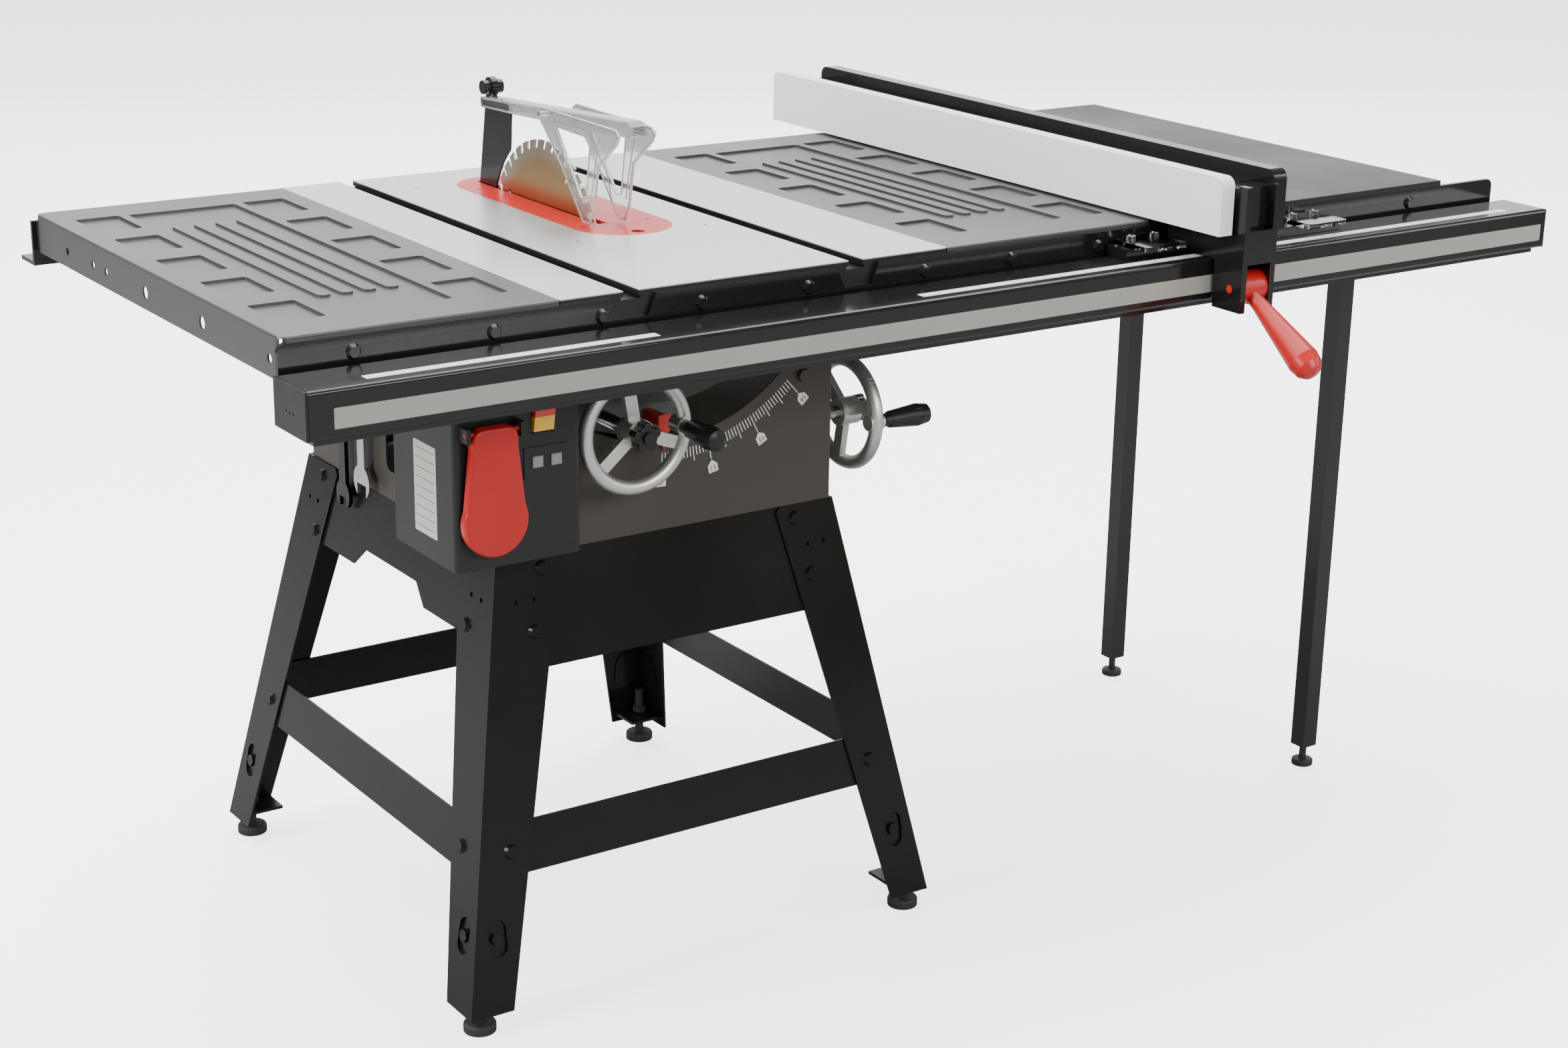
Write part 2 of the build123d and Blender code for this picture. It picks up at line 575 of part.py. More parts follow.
with BuildPart() as status_lenses:
    for lens_x in (rocker_x - 8, rocker_x + 15):
        box_at(lens_x - 6.5, lens_x + 6.5, sw_y0 - 4, sw_y0 - 1.5, top_z - 203, top_z - 190)
    chamfer(status_lenses.faces().group_by(Axis.Y)[0].edges(), 0.8)
status_lenses.part.label = "status_lenses"
export_step(status_lenses.part.moved(to_frame), "parts/status_lenses.step")

with BuildPart() as paddle:
    with BuildSketch(upright(paddle_pin_y + 4)):
        with Locations((paddle_x, top_z - 178)):
            RectangleRounded(56, 64, 14)
        with Locations((paddle_x, top_z - 252)):
            Circle(39)
        with BuildLine():
            Polyline((paddle_x - 28, top_z - 170), (paddle_x + 28, top_z - 170),
                     (paddle_x + 36, top_z - 240), (paddle_x - 36, top_z - 240), close=True)
        make_face()
    extrude(amount=11)
    fillet(paddle.faces().sort_by(Axis.Y)[0].edges(), 4)
    rod_at(paddle_x, paddle_pin_y, paddle_pin_z, 3, 69, "X")
paddle.part.label = "paddle"
export_step(paddle.part.moved(to_frame), "parts/paddle.step")

with BuildPart() as power_toggle:
    with BuildSketch(Plane.YZ.offset(rocker_x - 12.5)):
        with BuildLine():
            Polyline((sw_y0 + 6, rocker_z - 17), (sw_y0 - 3, rocker_z - 17), (sw_y0 - 6, rocker_z),
                     (sw_y0 - 9, rocker_z + 17), (sw_y0 + 6, rocker_z + 17), close=True)
        make_face()
    extrude(amount=25)
    fillet(power_toggle.faces().group_by(Axis.Y)[0].edges(), 1)
power_toggle.part.label = "power_toggle"
export_step(power_toggle.part.moved(to_frame), "parts/power_toggle.step")

# ---- Two blade wrenches hung flat on the left side of the cabinet ----
peg_out = 13.0           # keeps the wrenches clear of the stand's sloping side
with BuildPart() as blade_wrenches:
    for wrench_y, jaw, length in ((128, 12, 120), (182, 9, 150)):
        with BuildSketch(Plane.YZ.offset(cab_x0 - peg_out)):
            with Locations((wrench_y, top_z - 200 - length / 2)):
                RectangleRounded(18, length, 8)
            with Locations((wrench_y, top_z - 200 - length)):
                Circle(jaw + 9)
            with Locations((wrench_y, top_z - 200)):
                Circle(14)
                Circle(6, mode=Mode.SUBTRACT)
            with Locations((wrench_y, top_z - 208 - length - jaw)):
                Rectangle(2 * jaw, 2 * jaw + 10, mode=Mode.SUBTRACT)
        extrude(amount=5)
        rod_at(cab_x0 - peg_out / 2 - 0.5, wrench_y, top_z - 200, 5.5, peg_out + 1, "X")
blade_wrenches.part.label = "blade_wrenches"
export_step(blade_wrenches.part.moved(to_frame), "parts/blade_wrenches.step")

# ---- Tilting cradle: toothed front trunnion, rear trunnion, base and rods ----
sector_r = 224.0
arc_r0 = 100.0
arc_r1 = 113.0
base_x0 = blade_x - 60
base_x1 = blade_x - 12
base_z0 = top_z - 212
base_z1 = top_z - 200
front_face = front_seat_y - trunnion_t / 2
back_face = rear_seat_y + trunnion_t / 2
shaft_r = 8.0

with BuildPart() as front_trunnion:
    with BuildSketch(upright(front_seat_y + trunnion_t / 2)):
        with Locations((blade_x, top_z)):
            Circle(sector_r)
            with PolarLocations(sector_r + 0.2, 130, start_angle=0, angular_range=360):
                Circle(1.6, mode=Mode.SUBTRACT)
            Circle(arc_r0, mode=Mode.SUBTRACT)
        with BuildLine():
            Polyline(*wedge(-52, 10, 330), close=True)
        make_face(mode=Mode.INTERSECT)
        # lightening holes
        with Locations(*[(blade_x + 160 * math.sin(math.radians(a)), top_z - 160 * math.cos(math.radians(a)))
                         for a in (-41, -8)]):
            Circle(20, mode=Mode.SUBTRACT)
    extrude(amount=trunnion_t)
    with BuildSketch(upright(front_seat_y + trunnion_t / 2)):
        with Locations((blade_x, top_z)):
            Circle(arc_r1)
            Circle(arc_r0, mode=Mode.SUBTRACT)
        with BuildLine():
            Polyline(*wedge(-76, 25, 300), close=True)
        make_face(mode=Mode.INTERSECT)
    extrude(amount=trunnion_t)
    rod_at(elev_x, front_seat_y, elev_z, shaft_r + 0.08, 30, "Y", mode=Mode.SUBTRACT)
front_trunnion.part.label = "front_trunnion"
export_step(front_trunnion.part.moved(to_frame), "parts/front_trunnion.step")

with BuildPart() as rear_trunnion:
    with BuildSketch(upright(back_face)):
        with Locations((blade_x, top_z)):
            Circle(arc_r1)
            Circle(arc_r0, mode=Mode.SUBTRACT)
        with BuildLine():
            Polyline(*wedge(-76, 25, 300), close=True)
        make_face(mode=Mode.INTERSECT)
    extrude(amount=trunnion_t)
    box_at(base_x0, base_x1, back_face - trunnion_t, back_face, base_z0, top_z - 104)
    with BuildSketch(upright(back_face + 1)):
        with Locations((blade_x, top_z)):
            Circle(arc_r0)
    extrude(amount=trunnion_t + 2, mode=Mode.SUBTRACT)
rear_trunnion.part.label = "rear_trunnion"
export_step(rear_trunnion.part.moved(to_frame), "parts/rear_trunnion.step")

rod_x = blade_x - 36
rod_y = (50.0, 140.0)
rod_r = 9.0
with BuildPart() as cradle_base:
    box_at(base_x0, base_x1, front_seat_y + trunnion_t / 2, rear_seat_y - trunnion_t / 2, base_z0, base_z1)
    box_at(elev_x - 16, base_x1, gear_mid_y - 11, gear_mid_y + 17, base_z0, base_z1)
    for y in rod_y:
        rod_at(rod_x, y, base_z0 + 6, rod_r + 0.03, 20, "Z", mode=Mode.SUBTRACT)
    rod_at(elev_x, gear_mid_y, base_z0 + 6, 7.08, 20, "Z", mode=Mode.SUBTRACT)
cradle_base.part.label = "cradle_base"
export_step(cradle_base.part.moved(to_frame), "parts/cradle_base.step")

with BuildPart() as guide_rods:
    for y in rod_y:
        box_mid = (base_z0 + top_z - 22) / 2
        rod_at(rod_x, y, box_mid, rod_r, top_z - 22 - base_z0, "Z")
guide_rods.part.label = "guide_rods"
export_step(guide_rods.part.moved(to_frame), "parts/guide_rods.step")

with BuildPart() as tilt_pointer:
    a = math.radians(-2.5)
    tip_r = slot_r1 + 12
    root_r = slot_r1 - 18
    tip = (blade_x + tip_r * math.sin(a), top_z - tip_r * math.cos(a))
    root = (blade_x + root_r * math.sin(a), top_z - root_r * math.cos(a))
    with BuildSketch(upright(cab_y0 - 2)):
        with BuildLine():
            Polyline(tip, (root[0] - 8, root[1] - 2), (root[0] - 8, root[1] + 14),
                     (root[0] + 8, root[1] + 14), (root[0] + 8, root[1] - 2), close=True)
        make_face()
    extrude(amount=1.5)
    box_at(root[0] - 5, root[0] + 5, cab_y0 - 3, front_face, root[1], root[1] + 12)
tilt_pointer.part.label = "tilt_pointer"
export_step(tilt_pointer.part.moved(to_frame), "parts/tilt_pointer.step")

# ---- Elevation screw and its bevel gear ----
gear_near = 12.0
gear_far = 22.0
with BuildPart() as elevation_screw:
    rod_at(elev_x, gear_mid_y, (base_z0 + top_z - 24) / 2, 7, top_z - 24 - base_z0, "Z")
    with Locations((elev_x, gear_mid_y, elev_z + (gear_near + gear_far) / 2)):
        Cone(gear_near - 0.4, gear_far - 0.4, gear_far - gear_near)
elevation_screw.part.label = "elevation_screw"
export_step(elevation_screw.part.moved(to_frame), "parts/elevation_screw.step")

# ---- Rising carriage: arbor block, bearings, motor and its plate ----
block_x0 = blade_x - 60
block_x1 = blade_x - 12
block_z0 = top_z - 80
block_z1 = top_z - 24
arbor_r = 7.94
bearing_r = 17.5
motor_y = 140.0
motor_z = top_z - 215
motor_x0 = -224.0
motor_x1 = -104.0
motor_r = 66.0
pulley_x0 = -98.0
pulley_x1 = -82.0

with BuildPart() as arbor_block:
    box_at(block_x0, block_x1, -12, 165, block_z0, block_z1)
    fillet(arbor_block.edges().filter_by(Axis.Z), 4)
    # front ear for the elevation screw, rear ear for the motor plate
    box_at(elev_x - 15, block_x0 + 5, gear_mid_y - 17, gear_mid_y + 17, block_z0, block_z1)
    box_at(-100, block_x0 + 5, 138, 165, block_z0, block_z1)
    # arm that holds the spreader behind the blade
    box_at(blade_x - 30, block_x1, 150, 260, top_z - 74, top_z - 46)
    box_at(block_x1 - 1, blade_x - 1.2, 233, 259, top_z - 70, top_z - 48)
    rod_at(rod_x, blade_y, arbor_z, bearing_r + 0.04, 80, "X", mode=Mode.SUBTRACT)
    for y in rod_y:
        rod_at(rod_x, y, (block_z0 + block_z1) / 2, rod_r + 0.06, 90, "Z", mode=Mode.SUBTRACT)
    rod_at(elev_x, gear_mid_y, (block_z0 + block_z1) / 2, 7.08, 90, "Z", mode=Mode.SUBTRACT)
arbor_block.part.label = "arbor_block"
export_step(arbor_block.part.moved(to_frame), "parts/arbor_block.step")

with BuildPart() as arbor_bearings:
    for x in (block_x0 + 8, block_x1 - 8):
        rod_at(x, blade_y, arbor_z, bearing_r, 12, "X")
    rod_at(rod_x, blade_y, arbor_z, arbor_r + 0.05, 80, "X", mode=Mode.SUBTRACT)
arbor_bearings.part.label = "arbor_bearings"
export_step(arbor_bearings.part.moved(to_frame), "parts/arbor_bearings.step")

with BuildPart() as motor:
    rod_at((motor_x0 + motor_x1) / 2, motor_y, motor_z, motor_r - 8, motor_x1 - motor_x0, "X")
    for k in range(9):
        rod_at(motor_x0 + 24 + k * 10, motor_y, motor_z, motor_r, 4, "X")
    rod_at(motor_x0 + 8, motor_y, motor_z, motor_r - 3, 16, "X")
    box_at(motor_x0 + 30, motor_x1 - 30, motor_y - 30, motor_y + 30, motor_z + 40, motor_z + motor_r + 2)
    fillet(motor.faces().sort_by(Axis.X)[0].edges(), 3)
    rod_at(motor_x1, motor_y, motor_z, 8.2, 44, "X", mode=Mode.SUBTRACT)
motor.part.label = "motor"
export_step(motor.part.moved(to_frame), "parts/motor.step")

with BuildPart() as motor_plate:
    with BuildSketch(Plane.YZ.offset(motor_x1)):
        with BuildLine():
            Polyline((124, block_z1), (166, block_z1), (188, motor_z), (170, motor_z - 42),
                     (110, motor_z - 42), (92, motor_z), close=True)
        make_face()
        with Locations((motor_y, motor_z)):
            Circle(9.5, mode=Mode.SUBTRACT)
        with Locations((blade_y, arbor_z)):
            Circle(33, mode=Mode.SUBTRACT)
    extrude(amount=4)
motor_plate.part.label = "motor_plate"
export_step(motor_plate.part.moved(to_frame), "parts/motor_plate.step")

# ---- Arbor, flange, blade, washer and nut ----
flange_r = 22.0
blade_t = 2.6
blade_x0 = blade_x - blade_t / 2
blade_x1 = blade_x + blade_t / 2
teeth = 40
with BuildPart() as arbor_shaft:
    rod_at((-100 + blade_x + 18) / 2, blade_y, arbor_z, arbor_r - 0.04, blade_x + 118, "X")
    rod_at(blade_x0 - 2.5, blade_y, arbor_z, flange_r, 5, "X")
arbor_shaft.part.label = "arbor_shaft"
export_step(arbor_shaft.part.moved(to_frame), "parts/arbor_shaft.step")

with BuildPart() as saw_blade:
    with BuildSketch(Plane.YZ.offset(blade_x0)):
        with Locations((blade_y, arbor_z)):
            Circle(blade_r)
            Circle(arbor_r, mode=Mode.SUBTRACT)
            with PolarLocations(blade_r - 3, teeth):
                with Locations(Location((0, 0, 0), (0, 0, 20))):
                    Rectangle(15, 7, mode=Mode.SUBTRACT)
            with PolarLocations(blade_r - 26, 4, start_angle=30):
                Circle(3.5, mode=Mode.SUBTRACT)
    extrude(amount=blade_t)
saw_blade.part.label = "saw_blade"
export_step(saw_blade.part.moved(to_frame), "parts/saw_blade.step")

with BuildPart() as arbor_nut:
    rod_at(blade_x1 + 1.5, blade_y, arbor_z, 20, 3, "X")
    with BuildSketch(Plane.YZ.offset(blade_x1 + 3)):
        with Locations((blade_y, arbor_z)):
            RegularPolygon(13.8, 6)
    extrude(amount=11)
    rod_at(blade_x1 + 5, blade_y, arbor_z, arbor_r, 60, "X", mode=Mode.SUBTRACT)
arbor_nut.part.label = "arbor_nut"
export_step(arbor_nut.part.moved(to_frame), "parts/arbor_nut.step")

# ---- Pulleys and the drive belt ----
arbor_pulley_r = 30.0
motor_pulley_r = 35.0


def grooved_pulley(y, z, radius):
    """A flanged pulley in the belt plane."""
    rod_at((pulley_x0 + pulley_x1) / 2, y, z, radius, pulley_x1 - pulley_x0, "X")
    rod_at(pulley_x0 + 0.9, y, z, radius + 5, 1.8, "X")
    rod_at(pulley_x1 - 0.9, y, z, radius + 5, 1.8, "X")


with BuildPart() as arbor_pulley:
    grooved_pulley(blade_y, arbor_z, arbor_pulley_r - 4)
    rod_at(pulley_x0, blade_y, arbor_z, arbor_r, 60, "X", mode=Mode.SUBTRACT)
arbor_pulley.part.label = "arbor_pulley"
export_step(arbor_pulley.part.moved(to_frame), "parts/arbor_pulley.step")

with BuildPart() as motor_pulley:
    grooved_pulley(motor_y, motor_z, motor_pulley_r - 4)
    rod_at((motor_x1 - 18 + pulley_x1) / 2, motor_y, motor_z, 8, pulley_x1 - motor_x1 + 18, "X")
motor_pulley.part.label = "motor_pulley"
export_step(motor_pulley.part.moved(to_frame), "parts/motor_pulley.step")


def belt_outline(r0, r1):
    """Corner points of the strip between the two outer tangents of the pulleys."""
    dy = motor_y - blade_y
    dz = motor_z - arbor_z
    span = math.hypot(dy, dz)
    along = math.atan2(dz, dy)
    lean = math.acos((r0 - r1) / span)
    points = []
    for cy, cz, r, side in ((blade_y, arbor_z, r0, 1), (motor_y, motor_z, r1, 1),
                            (motor_y, motor_z, r1, -1), (blade_y, arbor_z, r0, -1)):
        points.append((cy + r * math.cos(along + side * lean), cz + r * math.sin(along + side * lean)))
    return points


with BuildPart() as drive_belt:
    for grow, mode in ((4, Mode.ADD), (0, Mode.SUBTRACT)):
        r0 = arbor_pulley_r - 3.9 + grow
        r1 = motor_pulley_r - 3.9 + grow
        with BuildSketch(Plane.YZ.offset(pulley_x0 + 2.2)):
            with Locations((blade_y, arbor_z)):
                Circle(r0)
            with Locations((motor_y, motor_z)):
                Circle(r1)
            with BuildLine():
                Polyline(*belt_outline(r0, r1), close=True)
            make_face()
        extrude(amount=11.6, mode=mode)
drive_belt.part.label = "drive_belt"
export_step(drive_belt.part.moved(to_frame), "parts/drive_belt.step")

# ---- Spreader, guard bar and the two swinging side shields ----
spreader_t = 2.3
gap_r = blade_r + 6
pivot_y = 60.0
pivot_z = top_z + 116
pin_r = 3.0
arc_back = [(blade_y + gap_r * math.cos(math.radians(a)), arbor_z + gap_r * math.sin(math.radians(a)))
            for a in (50, 44, 38, 32, 26, 20, 14)]

with BuildPart() as spreader:
    with BuildSketch(Plane.YZ.offset(blade_x - spreader_t / 2)):
        with BuildLine():
            Polyline((233, top_z - 72), (259, top_z - 72), (259, top_z + 4), (241, top_z + 108),
                     (238, top_z + 120), (216, top_z + 120), (214, top_z + 112), (176, top_z + 108),
                     *arc_back, (233, top_z - 22), close=True)
        make_face()
    extrude(amount=spreader_t)
    rod_at(blade_x, 227, top_z + 123, 8.5, 26, "X")
    rod_at(blade_x, 227, top_z + 123, 12, 8, "X")
spreader.part.label = "spreader"
export_step(spreader.part.moved(to_frame), "parts/spreader.step")

with BuildPart() as guard_bar:
    with BuildSketch(Plane.YZ.offset(blade_x - 10)):
        with BuildLine():
            Polyline((236, top_z + 97), (238, top_z + 110), (-112, top_z + 131), (-122, top_z + 126),
                     (-122, top_z + 116), (-112, top_z + 112), (170, top_z + 99), close=True)
        make_face()
    extrude(amount=20)
    fillet(guard_bar.edges().filter_by(Axis.Y, tolerance=5), 2)
    box_at(blade_x - 1.3, blade_x + 1.3, 160, 240, top_z + 90, top_z + 140, mode=Mode.SUBTRACT)
    rod_at(blade_x, 227, top_z + 123, 12.4, 40, "X", mode=Mode.SUBTRACT)
    rod_at(blade_x, pivot_y, pivot_z, pin_r + 0.08, 40, "X", mode=Mode.SUBTRACT)
guard_bar.part.label = "guard_bar"
export_step(guard_bar.part.moved(to_frame), "parts/guard_bar.step")


def shield_sheet(x, thick):
    """Clear side shield: an open V from the pivot down to a tip and up to the nose."""
    with BuildSketch(Plane.YZ.offset(x)) as outline:
        with BuildLine():
            Polyline((67, top_z + 119), (62, top_z + 108.5), (12, top_z + 62), (-36, top_z + 4),
                     (-50, top_z + 4), (-60, top_z + 22), (-70, top_z + 74), (-112, top_z + 106),
                     (-118, top_z + 116), (-110, top_z + 122), (60, top_z + 124), close=True)
        make_face()
        fillet(outline.vertices(), 3)
        with BuildLine():
            Polyline((26, top_z + 106), (-32, top_z + 32), (-44, top_z + 34), (-54, top_z + 104), close=True)
        make_face(mode=Mode.SUBTRACT)
    extrude(outline.sketch, amount=thick)


with BuildPart() as guard_shield_right:
    shield_sheet(blade_x + 22, 3)
    rod_at(blade_x - 0.5, pivot_y, pivot_z, pin_r, 55, "X")
guard_shield_right.part.label = "guard_shield_right"
export_step(guard_shield_right.part.moved(to_frame), "parts/guard_shield_right.step")

with BuildPart() as guard_shield_left:
    shield_sheet(blade_x - 25, 3)
    rod_at(blade_x - 23, pivot_y, pivot_z, pin_r + 0.08, 20, "X", mode=Mode.SUBTRACT)
guard_shield_left.part.label = "guard_shield_left"
export_step(guard_shield_left.part.moved(to_frame), "parts/guard_shield_left.step")

# ---- Handwheels: rim, three spokes, hub, lock knob and spinning crank ----
wheel_rim = 63.5
wheel_tube = 8.5
crank_arm = 59.0
elev_wheel_y = -245.0
tilt_wheel_x = 258.0


def spoked_wheel():
    """A wheel in its own frame: axis along Z, front face up."""
    with BuildPart(mode=Mode.PRIVATE) as wheel:
        Torus(wheel_rim, wheel_tube)
        with BuildSketch(Plane.XY.offset(-6)):
            for turn in (100, 220, 340):
                with Locations(Location((0, 0, 0), (0, 0, turn))):
                    with Locations((35, 0)):
                        Rectangle(56, 15)
        extrude(amount=9)
        Cylinder(17, 26)
        with Locations((crank_arm, 0, 0)):
            Cylinder(10, 20)
        Cylinder(shaft_r + 0.05, 60, mode=Mode.SUBTRACT)
        # paired grip grooves round the rim
        with PolarLocations(wheel_rim + wheel_tube, 6, start_angle=17):
            with Locations((0, -2.6, 0), (0, 2.6, 0)):
                Box(3, 2, 9, mode=Mode.SUBTRACT)
    return wheel.part


def crank_handle(length, fat):
    """A turned handle: axis along Z, starting just above the wheel boss."""
    with BuildPart(mode=Mode.PRIVATE) as handle:
        with BuildSketch(Plane.XZ):
            with BuildLine():
                Polyline((0, 10.4), (8, 10.4), (8, 17), (fat * 0.75, 22), (fat, 22 + length * 0.7),
                         (fat * 0.85, 22 + length * 0.95), (fat * 0.5, 22 + length), (0, 22 + length), close=True)
            make_face()
        revolve(axis=Axis.Z)
        with PolarLocations(fat + 1.2, 8):
            with Locations((0, 0, 22 + length * 0.45)):
                Cylinder(2.2, length * 0.6, mode=Mode.SUBTRACT)
    return handle.part


def lobed_knob():
    """Five-lobed lock knob: axis along Z, back face at 0."""
    with BuildPart(mode=Mode.PRIVATE) as knob:
        with BuildSketch():
            Circle(13)
            with PolarLocations(12, 5, start_angle=90):
                Circle(5.5)
        extrude(amount=13)
        fillet(knob.faces().sort_by(Axis.Z)[-1].edges(), 2)
        with Locations((0, 0, 15)):
            Cylinder(7, 5)
    return knob.part


front_wheel_frame = Plane((elev_x, elev_wheel_y, elev_z), x_dir=(1, 0, 0), z_dir=(0, -1, 0))
side_wheel_frame = Plane((tilt_wheel_x, tilt_y, tilt_z), x_dir=(0, -1, 0), z_dir=(1, 0, 0))

with BuildPart() as elevation_wheel:
    add(front_wheel_frame * spoked_wheel())
elevation_wheel.part.label = "elevation_wheel"
export_step(elevation_wheel.part.moved(to_frame), "parts/elevation_wheel.step")

with BuildPart() as tilt_wheel:
    add(side_wheel_frame * spoked_wheel())
tilt_wheel.part.label = "tilt_wheel"
export_step(tilt_wheel.part.moved(to_frame), "parts/tilt_wheel.step")

with BuildPart() as elevation_knob:
    add(front_wheel_frame * Pos(0, 0, 15) * lobed_knob())
elevation_knob.part.label = "elevation_knob"
export_step(elevation_knob.part.moved(to_frame), "parts/elevation_knob.step")

with BuildPart() as elevation_shaft:
    shaft_y0 = elev_wheel_y - 15
    shaft_y1 = gear_mid_y - gear_near
    rod_at(elev_x, (shaft_y0 + shaft_y1) / 2, elev_z, shaft_r, shaft_y1 - shaft_y0, "Y")
    with Locations(Location((elev_x, gear_mid_y - (gear_near + gear_far) / 2, elev_z), (90, 0, 0))):
        Cone(gear_near - 0.4, gear_far - 0.4, gear_far - gear_near)
elevation_shaft.part.label = "elevation_shaft"
export_step(elevation_shaft.part.moved(to_frame), "parts/elevation_shaft.step")

with BuildPart() as tilt_shaft:
    rod_at((tilt_wheel_x + 15 + blade_x - 64) / 2, tilt_y, tilt_z, shaft_r, tilt_wheel_x + 79 - blade_x, "X")
    rod_at(blade_x, tilt_y, tilt_z, 14, 60, "X")
    rod_at(cab_x1 + 5, tilt_y, tilt_z, 15, 8, "X")
    with Locations(Location((tilt_wheel_x + 15, tilt_y, tilt_z), (0, 90, 0))):
        add(lobed_knob())
tilt_shaft.part.label = "tilt_shaft"
export_step(tilt_shaft.part.moved(to_frame), "parts/tilt_shaft.step")

with BuildPart() as elevation_handle:
    add(front_wheel_frame * Pos(crank_arm, 0, 0) * crank_handle(58, 14))
elevation_handle.part.label = "elevation_handle"
export_step(elevation_handle.part.moved(to_frame), "parts/elevation_handle.step")

with BuildPart() as tilt_handle:
    add(side_wheel_frame * Pos(crank_arm, 0, 0) * crank_handle(58, 14))
tilt_handle.part.label = "tilt_handle"
export_step(tilt_handle.part.moved(to_frame), "parts/tilt_handle.step")

# ---- Rip fence: tube, boards, T-square head, cursors and lock lever ----
fence_x0 = 549.0
fence_front = tube_y0 - 36
fence_rear = half_d + 107
board = 20.0
fence_z0 = top_z + 3
fence_z1 = top_z + 71
body_x0 = 570.0
body_x1 = 630.0
head_z0 = tube_z1 + 0.5
head_front = tube_y0 - 52
head_rear = tube_y1 + 4
lever_x = 600.0
lever_y = tube_y0 - 32
lever_z = top_z - 62

with BuildPart() as fence_face_left:
    box_at(fence_x0, fence_x0 + board, fence_front, fence_rear, fence_z0, fence_z1)
    fillet(fence_face_left.edges().filter_by(Axis.X).group_by(Axis.Z)[-1], 12)
fence_face_left.part.label = "fence_face_left"
export_step(fence_face_left.part.moved(to_frame), "parts/fence_face_left.step")

with BuildPart() as fence_body:
    box_at(body_x0 - 1, body_x1 + 1, tube_y0 - 8, fence_rear - 12, top_z + 6, top_z + 58)
    fillet(fence_body.edges().filter_by(Axis.Y), 3)
    box_at(body_x0 + 2, body_x1 - 2, tube_y0 - 9, fence_rear + 1, top_z + 9, top_z + 55, mode=Mode.SUBTRACT)
    box_at(body_x1 + 1, body_x1 + 1 + board, fence_front, fence_rear, fence_z0, fence_z1 + 2)
    fillet(fence_body.edges().filter_by(Axis.X).filter_by_position(Axis.Z, fence_z1 + 1, fence_z1 + 3), 12)
fence_body.part.label = "fence_body"
export_step(fence_body.part.moved(to_frame), "parts/fence_body.step")

with BuildPart() as fence_head:
    # crossbar that rides on the tube, and the saddle under the fence
    box_at(480, 830, head_rear - 34, head_rear, head_z0, head_z0 + 12)
    box_at(body_x0 + 4, body_x1 - 4, head_front, head_rear, head_z0, top_z + 3)
    box_at(body_x0 + 8, body_x1 - 8, tube_y0 - 8, head_rear, top_z + 2, top_z + 5.9)
    # two arms down the front of the rail, with the bridge between them
    for x0 in (body_x0 + 4, body_x1 - 12):
        box_at(x0, x0 + 8, head_front, tube_y0 - 5, top_z - 88, top_z)
        box_at(x0, x0 + 8, head_front, head_front + 14, top_z - 1, top_z + 60)
        rod_at(x0 + 4, lever_y, lever_z, 5.08, 20, "X", mode=Mode.SUBTRACT)
    box_at(body_x0 + 4, body_x1 - 4, head_front, head_front + 6, top_z - 30, top_z + 8)
    # the plate closing the end of the fence tube
    box_at(body_x0 + 4, body_x1 - 4, head_front + 12, tube_y0 - 8.2, top_z + 6, top_z + 57)
fence_head.part.label = "fence_head"
export_step(fence_head.part.moved(to_frame), "parts/fence_head.step")

with BuildPart() as fence_lever:
    lean = math.radians(33)
    rod_at(lever_x, lever_y, lever_z, 19, 36, "X")
    rod_at(lever_x, lever_y, lever_z, 5, 51, "X")
    lever_plane = Plane((lever_x, lever_y, lever_z), x_dir=(1, 0, 0), z_dir=(0, -math.cos(lean), -math.sin(lean)))
    with BuildPart(mode=Mode.PRIVATE) as grip:
        with BuildSketch(Plane.XZ):
            with BuildLine():
                Polyline((0, 8), (9, 8), (9.5, 30), (18, 112), (19, 122), (17, 134), (11, 142), (0, 145), close=True)
            make_face()
        revolve(axis=Axis.Z)
        fillet(grip.edges().group_by(Axis.Z)[-2], 2)
    add(lever_plane * grip.part)
fence_lever.part.label = "fence_lever"
export_step(fence_lever.part.moved(to_frame), "parts/fence_lever.step")

with BuildPart() as fence_cursors:
    for x in (520, 782):
        with BuildSketch(Plane.XY.offset(head_z0 + 12)):
            with Locations((x, tube_y1 - 26)):
                RectangleRounded(64, 60, 5)
            with Locations((x - 18, tube_y1 - 12), (x + 18, tube_y1 - 12)):
                SlotOverall(22, 6, mode=Mode.SUBTRACT)
        extrude(amount=6)
        for dx in (-18, 18):
            rod_at(x + dx, tube_y1 - 12, head_z0 + 20.5, 5.5, 5, "Z")
fence_cursors.part.label = "fence_cursors"
export_step(fence_cursors.part.moved(to_frame), "parts/fence_cursors.step")
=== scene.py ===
# A contractor table saw on a splayed sheet-metal stand, with stamped wings, a rip fence
# on a tube rail, an extension table and a clear blade guard. Metres, Z up.
import math
import bmesh
import bpy
from mathutils import Matrix, Vector


